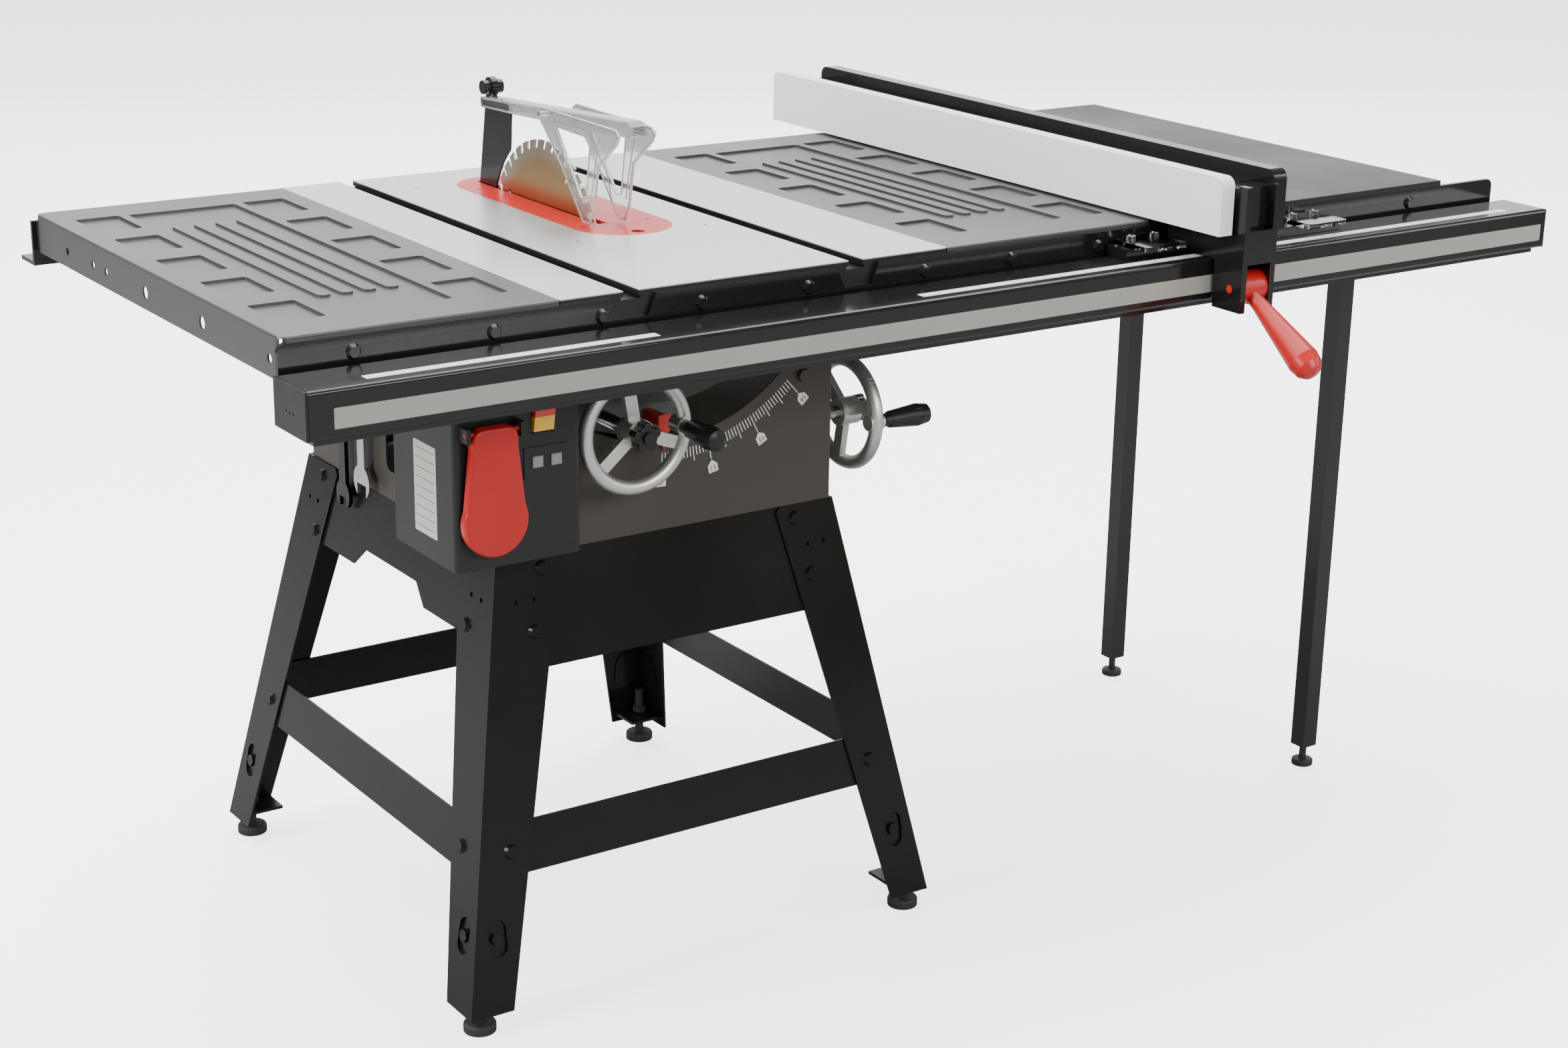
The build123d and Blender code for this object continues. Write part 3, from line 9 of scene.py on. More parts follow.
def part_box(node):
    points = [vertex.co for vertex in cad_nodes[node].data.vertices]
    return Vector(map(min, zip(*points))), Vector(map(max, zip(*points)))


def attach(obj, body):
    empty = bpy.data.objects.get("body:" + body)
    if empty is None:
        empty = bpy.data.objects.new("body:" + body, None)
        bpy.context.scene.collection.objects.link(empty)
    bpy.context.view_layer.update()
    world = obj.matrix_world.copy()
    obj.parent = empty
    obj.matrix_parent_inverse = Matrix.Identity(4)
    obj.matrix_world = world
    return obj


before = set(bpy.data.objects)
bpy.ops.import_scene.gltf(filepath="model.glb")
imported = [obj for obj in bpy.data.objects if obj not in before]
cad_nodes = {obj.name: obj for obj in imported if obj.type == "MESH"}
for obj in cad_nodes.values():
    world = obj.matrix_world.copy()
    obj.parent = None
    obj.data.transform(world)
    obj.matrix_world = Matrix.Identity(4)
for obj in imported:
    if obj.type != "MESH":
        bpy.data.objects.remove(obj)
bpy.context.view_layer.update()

# ---- Room: a pale floor under a pale sky, soft boxes and the camera ----
# The saw stands on plain white ground. It is lit by soft boxes overhead, behind, in
# front and at both sides. The eye sees the ground and the sky brighter than the saw
# does, which keeps the black enamel black.
scene = bpy.context.scene
table_low, table_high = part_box("table_casting")
table_top = table_high[2]
middle_x = (table_low[0] + table_high[0]) / 2
middle_y = (table_low[1] + table_high[1]) / 2


def add_node(tree, kind, inputs=None, **settings):
    """A shader node with its settings and inputs; an input may be a value or a socket."""
    item = tree.nodes.new(kind)
    for key, value in settings.items():
        setattr(item, key, value)
    for key, value in (inputs or {}).items():
        if isinstance(value, bpy.types.NodeSocket):
            tree.links.new(value, item.inputs[key])
        else:
            item.inputs[key].default_value = value
    return item


def show_mesh(name, bm, material, smooth_angle=35):
    """Turns a bmesh into a shown piece at the origin."""
    mesh = bpy.data.meshes.new(name)
    bm.to_mesh(mesh)
    bm.free()
    mesh.materials.append(material)
    piece = bpy.data.objects.new(name, mesh)
    scene.collection.objects.link(piece)
    if smooth_angle:
        mesh.shade_smooth()
        mesh.set_sharp_from_angle(angle=math.radians(smooth_angle))
    return piece


floor_reach = 60
floor_bounce = 0.34
floor_bm = bmesh.new()
bmesh.ops.create_grid(floor_bm, x_segments=2, y_segments=2, size=floor_reach)
floor_paint = bpy.data.materials.new("studio_floor")
floor_paint.use_nodes = True
floor_tree = floor_paint.node_tree
floor_place = add_node(floor_tree, "ShaderNodeTexCoord")
floor_mottle = add_node(floor_tree, "ShaderNodeTexNoise",
                        {"Vector": floor_place.outputs["Object"], "Scale": 1.5})
floor_shade = add_node(floor_tree, "ShaderNodeMapRange",
                       {"Value": floor_mottle.outputs["Fac"], "To Min": 0.93, "To Max": 0.96})
floor_seen = add_node(floor_tree, "ShaderNodeLightPath").outputs["Is Camera Ray"]
floor_dim = add_node(floor_tree, "ShaderNodeMix",
                     {0: floor_seen, 2: floor_bounce, 3: floor_shade.outputs["Result"]})
floor_shader = floor_tree.nodes["Principled BSDF"]
floor_tree.links.new(floor_dim.outputs[0], floor_shader.inputs["Base Color"])
floor_shader.inputs["Roughness"].default_value = 0.8
floor_glow = add_node(floor_tree, "ShaderNodeMath", {0: floor_seen, 1: 2.4}, operation="MULTIPLY")
floor_shader.inputs["Emission Color"].default_value = (1.0, 1.0, 1.0, 1)
floor_tree.links.new(floor_glow.outputs[0], floor_shader.inputs["Emission Strength"])
floor = show_mesh("studio_floor", floor_bm, floor_paint, 0)

world = bpy.data.worlds.new("studio")
scene.world = world
world.use_nodes = True
world_tree = world.node_tree
world_tree.nodes["Background"].inputs["Color"].default_value = (1.0, 1.0, 1.0, 1)
world_seen = add_node(world_tree, "ShaderNodeLightPath").outputs["Is Camera Ray"]
world_level = add_node(world_tree, "ShaderNodeMapRange", {"Value": world_seen, "To Min": 0.30, "To Max": 3.2})
world_tree.links.new(world_level.outputs["Result"], world_tree.nodes["Background"].inputs["Strength"])


def soft_box(name, place, size, power, aim=(0.0, 0.0, 0.6)):
    """A large rectangular lamp aimed at a point, the middle of the saw unless one is given."""
    lamp = bpy.data.lights.new(name, "AREA")
    lamp.shape = "RECTANGLE"
    lamp.size, lamp.size_y = size
    lamp.energy = power
    holder = bpy.data.objects.new(name, lamp)
    scene.collection.objects.link(holder)
    target = Vector(aim)
    holder.location = place
    holder.visible_camera = False
    holder.rotation_euler = (target - Vector(place)).to_track_quat("-Z", "Y").to_euler()


soft_box("overhead_box", (0.2, 1.4, 4.6), (7.0, 5.0), 640, (0.1, 0.6, 0.0))
soft_box("back_box", (2.6, 5.2, 2.2), (9.0, 3.2), 150, (0.0, 0.0, 0.9))
soft_box("left_box", (-3.6, 0.2, 2.4), (1.2, 2.4), 190)
soft_box("right_box", (3.4, -2.6, 1.8), (1.0, 2.4), 40)
soft_box("front_box", (0.2, -4.8, 2.6), (4.0, 1.6), 210)

# The camera stands to the front left, a little above the table and tipped by a degree.
camera_data = bpy.data.cameras.new("camera")
camera = bpy.data.objects.new("camera", camera_data)
scene.collection.objects.link(camera)
scene.camera = camera
camera_angles = (-34.51, 18.19, 0.94)
azimuth, elevation, roll = (math.radians(angle) for angle in camera_angles)
camera_back = Vector((math.sin(azimuth) * math.cos(elevation),
                      -math.cos(azimuth) * math.cos(elevation), math.sin(elevation)))
level_right = (-camera_back).cross(Vector((0, 0, 1))).normalized()
level_up = level_right.cross(-camera_back)
camera_right = math.cos(roll) * level_right + math.sin(roll) * level_up
camera_up = math.cos(roll) * level_up - math.sin(roll) * level_right
camera_turn = Matrix((camera_right, camera_up, camera_back)).transposed()
camera.rotation_euler = camera_turn.to_euler()
camera.location = (middle_x - 1.577, middle_y - 2.686, table_top + 0.643)
camera_data.sensor_width = 36.0
camera_data.lens = 61.438

# ---- Surfaces shared by many pieces: mottling, brushing, orange peel and dust ----
# Sheet metal here is powder coated or enamelled, castings are ground or left rough,
# and every surface drifts a little in colour and gloss and carries a few dust specks.
def effect_group(name, inputs, outputs):
    """An empty node group with named float or vector inputs and float outputs."""
    group = bpy.data.node_groups.new(name, "ShaderNodeTree")
    for label, kind, value in inputs:
        socket = group.interface.new_socket(label, in_out="INPUT", socket_type=kind)
        if value is not None:
            socket.default_value = value
    for label in outputs:
        group.interface.new_socket(label, in_out="OUTPUT", socket_type="NodeSocketFloat")
    return group, group.nodes.new("NodeGroupInput"), group.nodes.new("NodeGroupOutput")


mottle, mottle_in, mottle_out = effect_group(
    "Mottle", (("Place", "NodeSocketVector", None), ("Scale", "NodeSocketFloat", 8.0)), ("Broad", "Fine"))
broad = add_node(mottle, "ShaderNodeTexNoise", {"Vector": mottle_in.outputs["Place"],
                                                "Scale": mottle_in.outputs["Scale"], "Detail": 4.0})
finer = add_node(mottle, "ShaderNodeMath", {0: mottle_in.outputs["Scale"], 1: 11.0}, operation="MULTIPLY")
fine = add_node(mottle, "ShaderNodeTexNoise", {"Vector": mottle_in.outputs["Place"],
                                               "Scale": finer.outputs[0], "Detail": 6.0})
mottle.links.new(broad.outputs["Fac"], mottle_out.inputs["Broad"])
mottle.links.new(fine.outputs["Fac"], mottle_out.inputs["Fine"])

brush, brush_in, brush_out = effect_group(
    "Brushed", (("Place", "NodeSocketVector", None), ("Stretch", "NodeSocketVector", (1.0, 1.0, 1.0))),
    ("Lines",))
brush_place = add_node(brush, "ShaderNodeVectorMath",
                       {0: brush_in.outputs["Place"], 1: brush_in.outputs["Stretch"]}, operation="MULTIPLY")
brush_noise = add_node(brush, "ShaderNodeTexNoise",
                       {"Vector": brush_place.outputs[0], "Scale": 1.0, "Detail": 8.0, "Roughness": 0.7})
brush.links.new(brush_noise.outputs["Fac"], brush_out.inputs["Lines"])

dust, dust_in, dust_out = effect_group(
    "Dust", (("Place", "NodeSocketVector", None), ("Amount", "NodeSocketFloat", 0.2)), ("Mask",))
dust_cells = add_node(dust, "ShaderNodeTexVoronoi", {"Vector": dust_in.outputs["Place"], "Scale": 260.0})
dust_patch = add_node(dust, "ShaderNodeTexNoise",
                      {"Vector": dust_in.outputs["Place"], "Scale": 9.0, "Detail": 5.0})
dust_spot = add_node(dust, "ShaderNodeMapRange", {"Value": dust_cells.outputs["Distance"], "From Min": 0.0,
                                                  "From Max": 0.16, "To Min": 1.0, "To Max": 0.0})
dust_both = add_node(dust, "ShaderNodeMath", {0: dust_spot.outputs["Result"], 1: dust_patch.outputs["Fac"]},
                     operation="MULTIPLY")
dust_scaled = add_node(dust, "ShaderNodeMath", {0: dust_both.outputs[0], 1: dust_in.outputs["Amount"]},
                       operation="MULTIPLY")
dust.links.new(dust_scaled.outputs[0], dust_out.inputs["Mask"])


def coating(name, colour, light, rough, rough_spread=0.08, metal=0.0, coat=0.0, peel_scale=240.0,
            peel=0.12, speck=0.15, mottle_scale=5.0, stretch=None, line_mix=0.0, specular=0.5):
    """A finish: colour and gloss that drift over the surface, fine relief and a little dust.

    In a mix, input 0 is the share, 2 and 3 are its two values and 6 and 7 its two colours.
    """
    made = bpy.data.materials.new(name)
    made.use_nodes = True
    tree = made.node_tree
    shader = tree.nodes["Principled BSDF"]
    place = add_node(tree, "ShaderNodeTexCoord").outputs["Object"]
    drift = add_node(tree, "ShaderNodeGroup", {}, node_tree=mottle)
    tree.links.new(place, drift.inputs["Place"])
    drift.inputs["Scale"].default_value = mottle_scale
    amount = drift.outputs["Broad"]
    relief = drift.outputs["Fine"]
    if stretch:
        lines = add_node(tree, "ShaderNodeGroup", {}, node_tree=brush)
        tree.links.new(place, lines.inputs["Place"])
        lines.inputs["Stretch"].default_value = stretch
        amount = add_node(tree, "ShaderNodeMix",
                          {0: line_mix, 2: amount, 3: lines.outputs["Lines"]}).outputs[0]
        relief = lines.outputs["Lines"]
    shade = add_node(tree, "ShaderNodeMix", {0: amount, 6: (*colour, 1), 7: (*light, 1)}, data_type="RGBA")
    specks = add_node(tree, "ShaderNodeGroup", {}, node_tree=dust)
    tree.links.new(place, specks.inputs["Place"])
    specks.inputs["Amount"].default_value = speck
    dusty = add_node(tree, "ShaderNodeMix", {0: specks.outputs["Mask"], 6: shade.outputs[2],
                                             7: (0.42, 0.37, 0.30, 1)}, data_type="RGBA")
    tree.links.new(dusty.outputs[2], shader.inputs["Base Color"])
    gloss = add_node(tree, "ShaderNodeMapRange", {"Value": amount, "From Min": 0.3, "From Max": 0.7,
                                                  "To Min": max(rough - rough_spread, 0.02),
                                                  "To Max": rough + rough_spread})
    tree.links.new(gloss.outputs["Result"], shader.inputs["Roughness"])
    shader.inputs["Metallic"].default_value = metal
    shader.inputs["Coat Weight"].default_value = coat
    shader.inputs["Coat Roughness"].default_value = 0.08
    shader.inputs["Specular IOR Level"].default_value = specular
    grain = add_node(tree, "ShaderNodeTexNoise", {"Vector": place, "Scale": peel_scale, "Detail": 2.0})
    both = add_node(tree, "ShaderNodeMix", {0: 0.5 if stretch else 0.25, 2: grain.outputs["Fac"], 3: relief})
    bump = add_node(tree, "ShaderNodeBump", {"Height": both.outputs[0], "Strength": peel, "Distance": 0.0006})
    tree.links.new(bump.outputs["Normal"], shader.inputs["Normal"])
    return made


def paint_node(name, material):
    """Gives a carried-over node its finish."""
    for slot in cad_nodes[name].material_slots:
        slot.material = material


# ---- Table ----
# A ribbed iron casting. Its top is ground flat and bright. Below the top it is near black:
# the flanks are darker as cast, and the slots carry painted shade.
ground_iron = coating("ground_iron", (0.66, 0.655, 0.645), (0.80, 0.795, 0.785), 0.34, 0.06, metal=0.85,
                      peel_scale=900.0, peel=0.10, speck=0.05, mottle_scale=3.0,
                      stretch=(900.0, 6.0, 900.0), line_mix=0.55)


def place_in(made, axis):
    """How far along X, Y or Z a point of the surface lies."""
    tree = made.node_tree
    place = add_node(tree, "ShaderNodeTexCoord").outputs["Object"]
    return add_node(tree, "ShaderNodeSeparateXYZ", {0: place}).outputs[axis]


def colour_over(made, mask, colour):
    """Lays a second colour over a finish where the mask is 1."""
    tree = made.node_tree
    shader = tree.nodes["Principled BSDF"]
    under = shader.inputs["Base Color"].links[0].from_socket
    both = add_node(tree, "ShaderNodeMix", {0: mask, 6: under, 7: (*colour, 1)}, data_type="RGBA")
    tree.links.new(both.outputs[2], shader.inputs["Base Color"])


iron_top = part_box("table_casting")[1][2]
# painted shade: everything more than about a millimetre below the top turns near black, partly the as-cast
# flanks, partly shade painted into the slots
iron_flank_and_slot_shade = add_node(ground_iron.node_tree, "ShaderNodeMapRange",
                      {"Value": place_in(ground_iron, "Z"), "From Min": iron_top - 0.0016,
                       "From Max": iron_top - 0.0006, "To Min": 1.0, "To Max": 0.0})
colour_over(ground_iron, iron_flank_and_slot_shade.outputs["Result"], (0.045, 0.043, 0.040))
paint_node("table_casting", ground_iron)

# ---- Table insert ----
# A red enamelled steel plate that drops into the throat, with a slot for the blade.
insert_red = coating("insert_red", (0.42, 0.008, 0.007), (0.52, 0.015, 0.012), 0.34, 0.06,
                     coat=0.15, peel_scale=500.0, peel=0.08, speck=0.08, specular=0.35)
paint_node("table_insert", insert_red)

# ---- Wings ----
# Each is one pressed steel sheet with pockets, beads and a folded rim, in satin grey
# paint. They bolt to the two sides of the table.
wing_grey = coating("wing_grey", (0.046, 0.047, 0.046), (0.066, 0.067, 0.066), 0.32, 0.05,
                    metal=0.20, coat=0.03, peel_scale=420.0, peel=0.08, speck=0.08, mottle_scale=3.0)
for wing in ("left_wing", "right_wing"):
    paint_node(wing, wing_grey)

# ---- Rails, fence and stand ----
# Folded and welded steel in gloss black enamel with a little orange peel. The stand's
# enamel is warmer and a shade duller than that of the rails and the fence.
black_enamel = coating("black_enamel", (0.006, 0.006, 0.006), (0.011, 0.010, 0.010), 0.15, 0.04, coat=0.25,
                       peel_scale=260.0, peel=0.10, speck=0.10, specular=0.30)
for name in ("front_angle", "rail_tube", "rear_angle", "extension_legs", "rail_bolts", "fence_body",
             "fence_head", "spreader"):
    paint_node(name, black_enamel)
stand_enamel = coating("stand_enamel", (0.006, 0.005, 0.004), (0.011, 0.010, 0.008), 0.24, 0.05, coat=0.03,
                       peel_scale=260.0, peel=0.10, speck=0.04, mottle_scale=4.0, specular=0.20)
for name in ("stand_panels", "stand_legs_front", "stand_legs_rear", "stand_braces", "stand_bolts"):
    paint_node(name, stand_enamel)

# ---- Rail stripe and scale tapes ----
# A grey foil band is stuck along the front of the tube. Two white printed tapes with
# inch marks lie on top of it, one reading each way from the blade.
def spot(x, y, z):
    """A point given in millimetres from the middle of the table surface."""
    return Vector((middle_x + x / 1000, middle_y + y / 1000, table_top + z / 1000))


def rounded_plate(bm, centre, across, upward, width, height, thick, corner=0.0015, segments=3):
    """A thin plate with rounded corners; its face looks along across x upward."""
    outward = across.cross(upward).normalized()
    outline = []
    for cx, cy, first in ((1, 1, 0), (-1, 1, 90), (-1, -1, 180), (1, -1, 270)):
        for k in range(segments + 1):
            turn = math.radians(first + 90 * k / segments)
            outline.append((cx * (width / 2 - corner) + corner * math.cos(turn),
                            cy * (height / 2 - corner) + corner * math.sin(turn)))
    face = bm.faces.new([bm.verts.new(centre + across * px + upward * py) for px, py in outline])
    raised = bmesh.ops.extrude_face_region(bm, geom=[face])
    moved = [v for v in raised["geom"] if isinstance(v, bmesh.types.BMVert)]
    bmesh.ops.translate(bm, verts=moved, vec=outward * thick)


def add_lettering(bm, text, centre, across, upward, size, thick=0.00012):
    """Flat raised figures centred on a point."""
    curve = bpy.data.curves.new("figures", "FONT")
    curve.body = text
    curve.size = size
    curve.align_x = "CENTER"
    curve.align_y = "CENTER"
    curve.resolution_u = 2
    curve.extrude = thick
    holder = bpy.data.objects.new("figures", curve)
    flat = bpy.data.meshes.new_from_object(holder)
    turn = Matrix((across, upward, across.cross(upward))).transposed().to_4x4()
    flat.transform(Matrix.Translation(centre) @ turn)
    bm.from_mesh(flat)
    bpy.data.objects.remove(holder)
    bpy.data.curves.remove(curve)
    bpy.data.meshes.remove(flat)


east, north, up_way = Vector((1, 0, 0)), Vector((0, 1, 0)), Vector((0, 0, 1))
tube_low, tube_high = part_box("rail_tube")
foil_grey = coating("foil_grey", (0.27, 0.26, 0.23), (0.34, 0.33, 0.30), 0.32, 0.05, coat=0.2,
                    peel_scale=500.0, peel=0.06, speck=0.06, mottle_scale=2.0)
foil_thick = 0.0002
stripe_bm = bmesh.new()
stripe_left = spot(-547, 0, 0).x
stripe_right = tube_high[0] - 0.006
stripe_middle = Vector(((stripe_left + stripe_right) / 2, tube_low[1], spot(0, 0, -61.5).z))
rounded_plate(stripe_bm, stripe_middle, east, up_way, stripe_right - stripe_left, 0.021, foil_thick, 0.0008)
bmesh.ops.recalc_face_normals(stripe_bm, faces=stripe_bm.faces)
stripe = show_mesh("rail_stripe", stripe_bm, foil_grey)
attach(stripe, "base")

tape_white = coating("tape_white", (0.66, 0.68, 0.70), (0.74, 0.76, 0.78), 0.34, 0.06,
                     peel_scale=700.0, peel=0.05, speck=0.08, mottle_scale=3.0)
ink_black = coating("ink_black", (0.015, 0.015, 0.015), (0.03, 0.03, 0.03), 0.45, 0.05,
                    peel_scale=900.0, peel=0.05, speck=0.0)
inch = 0.0254
ink_thick = 0.00005
for tape_name, tape_x0, tape_x1 in (("scale_tape_left", -504, -173), ("scale_tape_right", 165, 1101)):
    tape_y = spot(0, -409, 0).y
    left, right = spot(tape_x0, 0, 0).x, spot(tape_x1, 0, 0).x
    tape_bm = bmesh.new()
    rounded_plate(tape_bm, Vector(((left + right) / 2, tape_y, tube_high[2])), east, north,
                  right - left, 0.013, foil_thick, 0.001)
    bmesh.ops.recalc_face_normals(tape_bm, faces=tape_bm.faces)
    tape = show_mesh(tape_name, tape_bm, tape_white)
    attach(tape, "base")
    # eighths of an inch, with longer marks at the halves and a number at each inch
    mark_bm = bmesh.new()
    mark_height = tube_high[2] + foil_thick
    marks = int((right - left - 0.006) / (inch / 8))
    for k in range(marks):
        mark_x = left + 0.004 + k * inch / 8
        reach = 0.0055 if k % 8 == 0 else 0.004 if k % 4 == 0 else 0.0024
        mark_middle = Vector((mark_x, tape_y - 0.0062 + reach / 2, mark_height))
        rounded_plate(mark_bm, mark_middle, east, north, 0.0004, reach, ink_thick, 0.0001, 1)
        if k % 8 == 0 and k:
            reading = k // 8 if tape_x0 > 0 else marks // 8 - k // 8 + 1
            figure_middle = Vector((mark_x, tape_y + 0.0032, mark_height))
            add_lettering(mark_bm, str(reading), figure_middle, east, north, 0.0055, 0.00004)
    print_marks = show_mesh(tape_name + "_marks", mark_bm, ink_black, 0)
    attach(print_marks, "base")

# ---- Cabinet ----
# Steel sheet folded into a box that hangs under the table, in satin warm grey paint.
cabinet_grey = coating("cabinet_grey", (0.042, 0.037, 0.030), (0.054, 0.048, 0.040), 0.40, 0.06,
                       peel_scale=420.0, peel=0.12, speck=0.08, mottle_scale=4.0, specular=0.22)
paint_node("cabinet_shell", cabinet_grey)

# ---- Tilt scale ----
# White degree marks and number tags printed on the cabinet front, along an arc about
# the tilt axis. The pointer on the cradle reads them.
scale_white = coating("scale_white", (0.55, 0.55, 0.53), (0.66, 0.66, 0.64), 0.5, 0.05,
                      peel_scale=700.0, peel=0.05, speck=0.1)
cabinet_front = spot(0, -188, 0).y
tilt_axis_x = -20
pointer_lean = 2.5
mark_root = 0.238
tag_radius = 0.2725
figure_radius = 0.2735
tagged_degrees = (0, 15, 30, 45)


def on_scale(degree, radius, lift=0.0):
    """A point of the scale and the directions across it and inward at that degree."""
    turn = math.radians(degree - pointer_lean)
    outward = Vector((math.sin(turn), 0, -math.cos(turn)))
    sideways = Vector((math.cos(turn), 0, math.sin(turn)))
    centre = spot(tilt_axis_x, 0, 0) + outward * radius
    centre.y = cabinet_front - lift
    return centre, sideways, -outward


tick_bm = bmesh.new()
for degree in range(46):
    reach = 24 if degree % 15 == 0 else 18 if degree % 5 == 0 else 12
    centre, sideways, inward = on_scale(degree, mark_root + reach / 2000)
    rounded_plate(tick_bm, centre, sideways, inward, 0.0011, reach / 1000, foil_thick, 0.0003, 1)
tag_outline = ((-6.5, -6), (6.5, -6), (6.5, 3.5), (0, 9.5), (-6.5, 3.5))
for degree in tagged_degrees:
    centre, sideways, inward = on_scale(degree, tag_radius)
    tag = tick_bm.faces.new([tick_bm.verts.new(centre + sideways * (px / 1000) + inward * (py / 1000))
                             for px, py in tag_outline])
    raised = bmesh.ops.extrude_face_region(tick_bm, geom=[tag])
    moved = [v for v in raised["geom"] if isinstance(v, bmesh.types.BMVert)]
    bmesh.ops.translate(tick_bm, verts=moved, vec=(0, -foil_thick, 0))
bmesh.ops.recalc_face_normals(tick_bm, faces=tick_bm.faces)
tilt_scale = show_mesh("tilt_scale", tick_bm, scale_white, 0)
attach(tilt_scale, "base")
figure_bm = bmesh.new()
for degree in tagged_degrees:
    centre, sideways, inward = on_scale(degree, figure_radius, foil_thick)
    add_lettering(figure_bm, str(degree), centre, sideways, inward, 0.0095, ink_thick)
scale_figures = show_mesh("tilt_scale_figures", figure_bm, ink_black, 0)
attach(scale_figures, "base")

# ---- Extension table ----
# A board faced in dull black laminate that lies between the front and the rear rail.
black_laminate = coating("black_laminate", (0.010, 0.010, 0.011), (0.018, 0.018, 0.019), 0.38, 0.06,
                         peel_scale=800.0, peel=0.16, speck=0.12, mottle_scale=6.0, specular=0.28)
paint_node("extension_top", black_laminate)

# ---- Switch box, knobs, caps and crank grips ----
# Moulded black plastic with a fine grain. The box carries a pale rating label with
# plain rules, two status lenses, a rocker in red and yellow and a large red stop paddle.
black_plastic = coating("black_plastic", (0.009, 0.009, 0.009), (0.016, 0.016, 0.016), 0.38, 0.07,
                        peel_scale=1400.0, peel=0.30, speck=0.10, specular=0.32)
for name in ("switch_box", "rail_end_caps", "elevation_knob", "elevation_handle", "tilt_handle"):
    paint_node(name, black_plastic)
box_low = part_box("switch_box")[0]
label_bm = bmesh.new()
label_centre = Vector((box_low[0], spot(0, -192.5, 0).y, spot(0, 0, -230.5).z))
rounded_plate(label_bm, label_centre, -north, up_way, 0.052, 0.104, foil_thick, 0.002)
bmesh.ops.recalc_face_normals(label_bm, faces=label_bm.faces)
label_white = coating("label_white", (0.46, 0.45, 0.41), (0.54, 0.53, 0.49), 0.42, 0.06,
                      peel_scale=700.0, peel=0.06, speck=0.1)
rating_label = show_mesh("rating_label", label_bm, label_white)
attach(rating_label, "base")
rule_count = 9
rule_pitch = 0.011
rule_bm = bmesh.new()
for row in range(rule_count):
    row_centre = label_centre + Vector((-foil_thick, 0, 0.044 - row * rule_pitch))
    rounded_plate(rule_bm, row_centre, -north, up_way, 0.044, 0.0007, ink_thick, 0.0002, 1)
label_rules = show_mesh("rating_label_rules", rule_bm, ink_black, 0)
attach(label_rules, "base")
lens_grey = coating("lens_grey", (0.16, 0.16, 0.16), (0.22, 0.22, 0.22), 0.20, 0.04, coat=0.4,
                    peel_scale=300.0)
paint_node("status_lenses", lens_grey)
stop_red = coating("stop_red", (0.40, 0.008, 0.008), (0.50, 0.014, 0.012), 0.32, 0.06, coat=0.15,
                   peel_scale=900.0, peel=0.20, speck=0.08, specular=0.35)
paint_node("paddle", stop_red)
toggle_paint = coating("toggle_paint", (0.52, 0.010, 0.010), (0.62, 0.018, 0.015), 0.3, 0.05, coat=0.3,
                       peel_scale=900.0, peel=0.15, speck=0.1)
toggle_low, toggle_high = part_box("power_toggle")
toggle_split = (toggle_low[2] + toggle_high[2]) / 2
toggle_mask = add_node(toggle_paint.node_tree, "ShaderNodeMath",
                       {0: place_in(toggle_paint, "Z"), 1: toggle_split}, operation="LESS_THAN")
colour_over(toggle_paint, toggle_mask.outputs[0], (0.75, 0.42, 0.02))
paint_node("power_toggle", toggle_paint)

# ---- Fence board and lock lever ----
# A slick white plastic board is fixed to the left of the black steel fence, and a
# tapered lever in the same red as the paddle locks the head to the rail.
slick_white = coating("slick_white", (0.80, 0.80, 0.79), (0.87, 0.87, 0.86), 0.38, 0.06,
                      peel_scale=500.0, peel=0.08, speck=0.10, mottle_scale=2.0)
paint_node("fence_face_left", slick_white)
paint_node("fence_lever", stop_red)

# ---- Guard and fence cursors ----
# Moulded clear polycarbonate. The rims and ribs of the shields, and the edges of the
# bar, are thicker; they are beaded in a pale, half clear material, a painted highlight for the light they
# catch.
def clear_plastic(name, tint, rough):
    """Moulded clear sheet with faint swirl marks."""
    made = bpy.data.materials.new(name)
    made.use_nodes = True
    tree = made.node_tree
    shader = tree.nodes["Principled BSDF"]
    shader.inputs["Base Color"].default_value = (*tint, 1)
    shader.inputs["Transmission Weight"].default_value = 1.0
    shader.inputs["IOR"].default_value = 1.49
    place = add_node(tree, "ShaderNodeTexCoord").outputs["Object"]
    swirl = add_node(tree, "ShaderNodeTexNoise", {"Vector": place, "Scale": 60.0, "Detail": 5.0})
    haze = add_node(tree, "ShaderNodeMapRange", {"Value": swirl.outputs["Fac"], "To Min": rough * 0.4,
                                                 "To Max": rough * 1.8})
    tree.links.new(haze.outputs["Result"], shader.inputs["Roughness"])
    bump = add_node(tree, "ShaderNodeBump",
                    {"Height": swirl.outputs["Fac"], "Strength": 0.15, "Distance": 0.0008})
    tree.links.new(bump.outputs["Normal"], shader.inputs["Normal"])
    return made


guard_clear = clear_plastic("guard_clear", (0.97, 0.98, 0.98), 0.05)
for name in ("guard_bar", "guard_shield_left", "guard_shield_right", "fence_cursors"):
    paint_node(name, guard_clear)

# painted highlight: the pale, half clear colour of these beads and bosses stands in for light caught by the
# thick clear edges
rim_painted_highlight = coating("rim_painted_highlight", (0.80, 0.78, 0.77), (0.92, 0.90, 0.89), 0.14, 0.04, coat=0.5,
                    peel_scale=200.0, peel=0.1, speck=0.02)
rim_painted_highlight.node_tree.nodes["Principled BSDF"].inputs["Transmission Weight"].default_value = 0.55


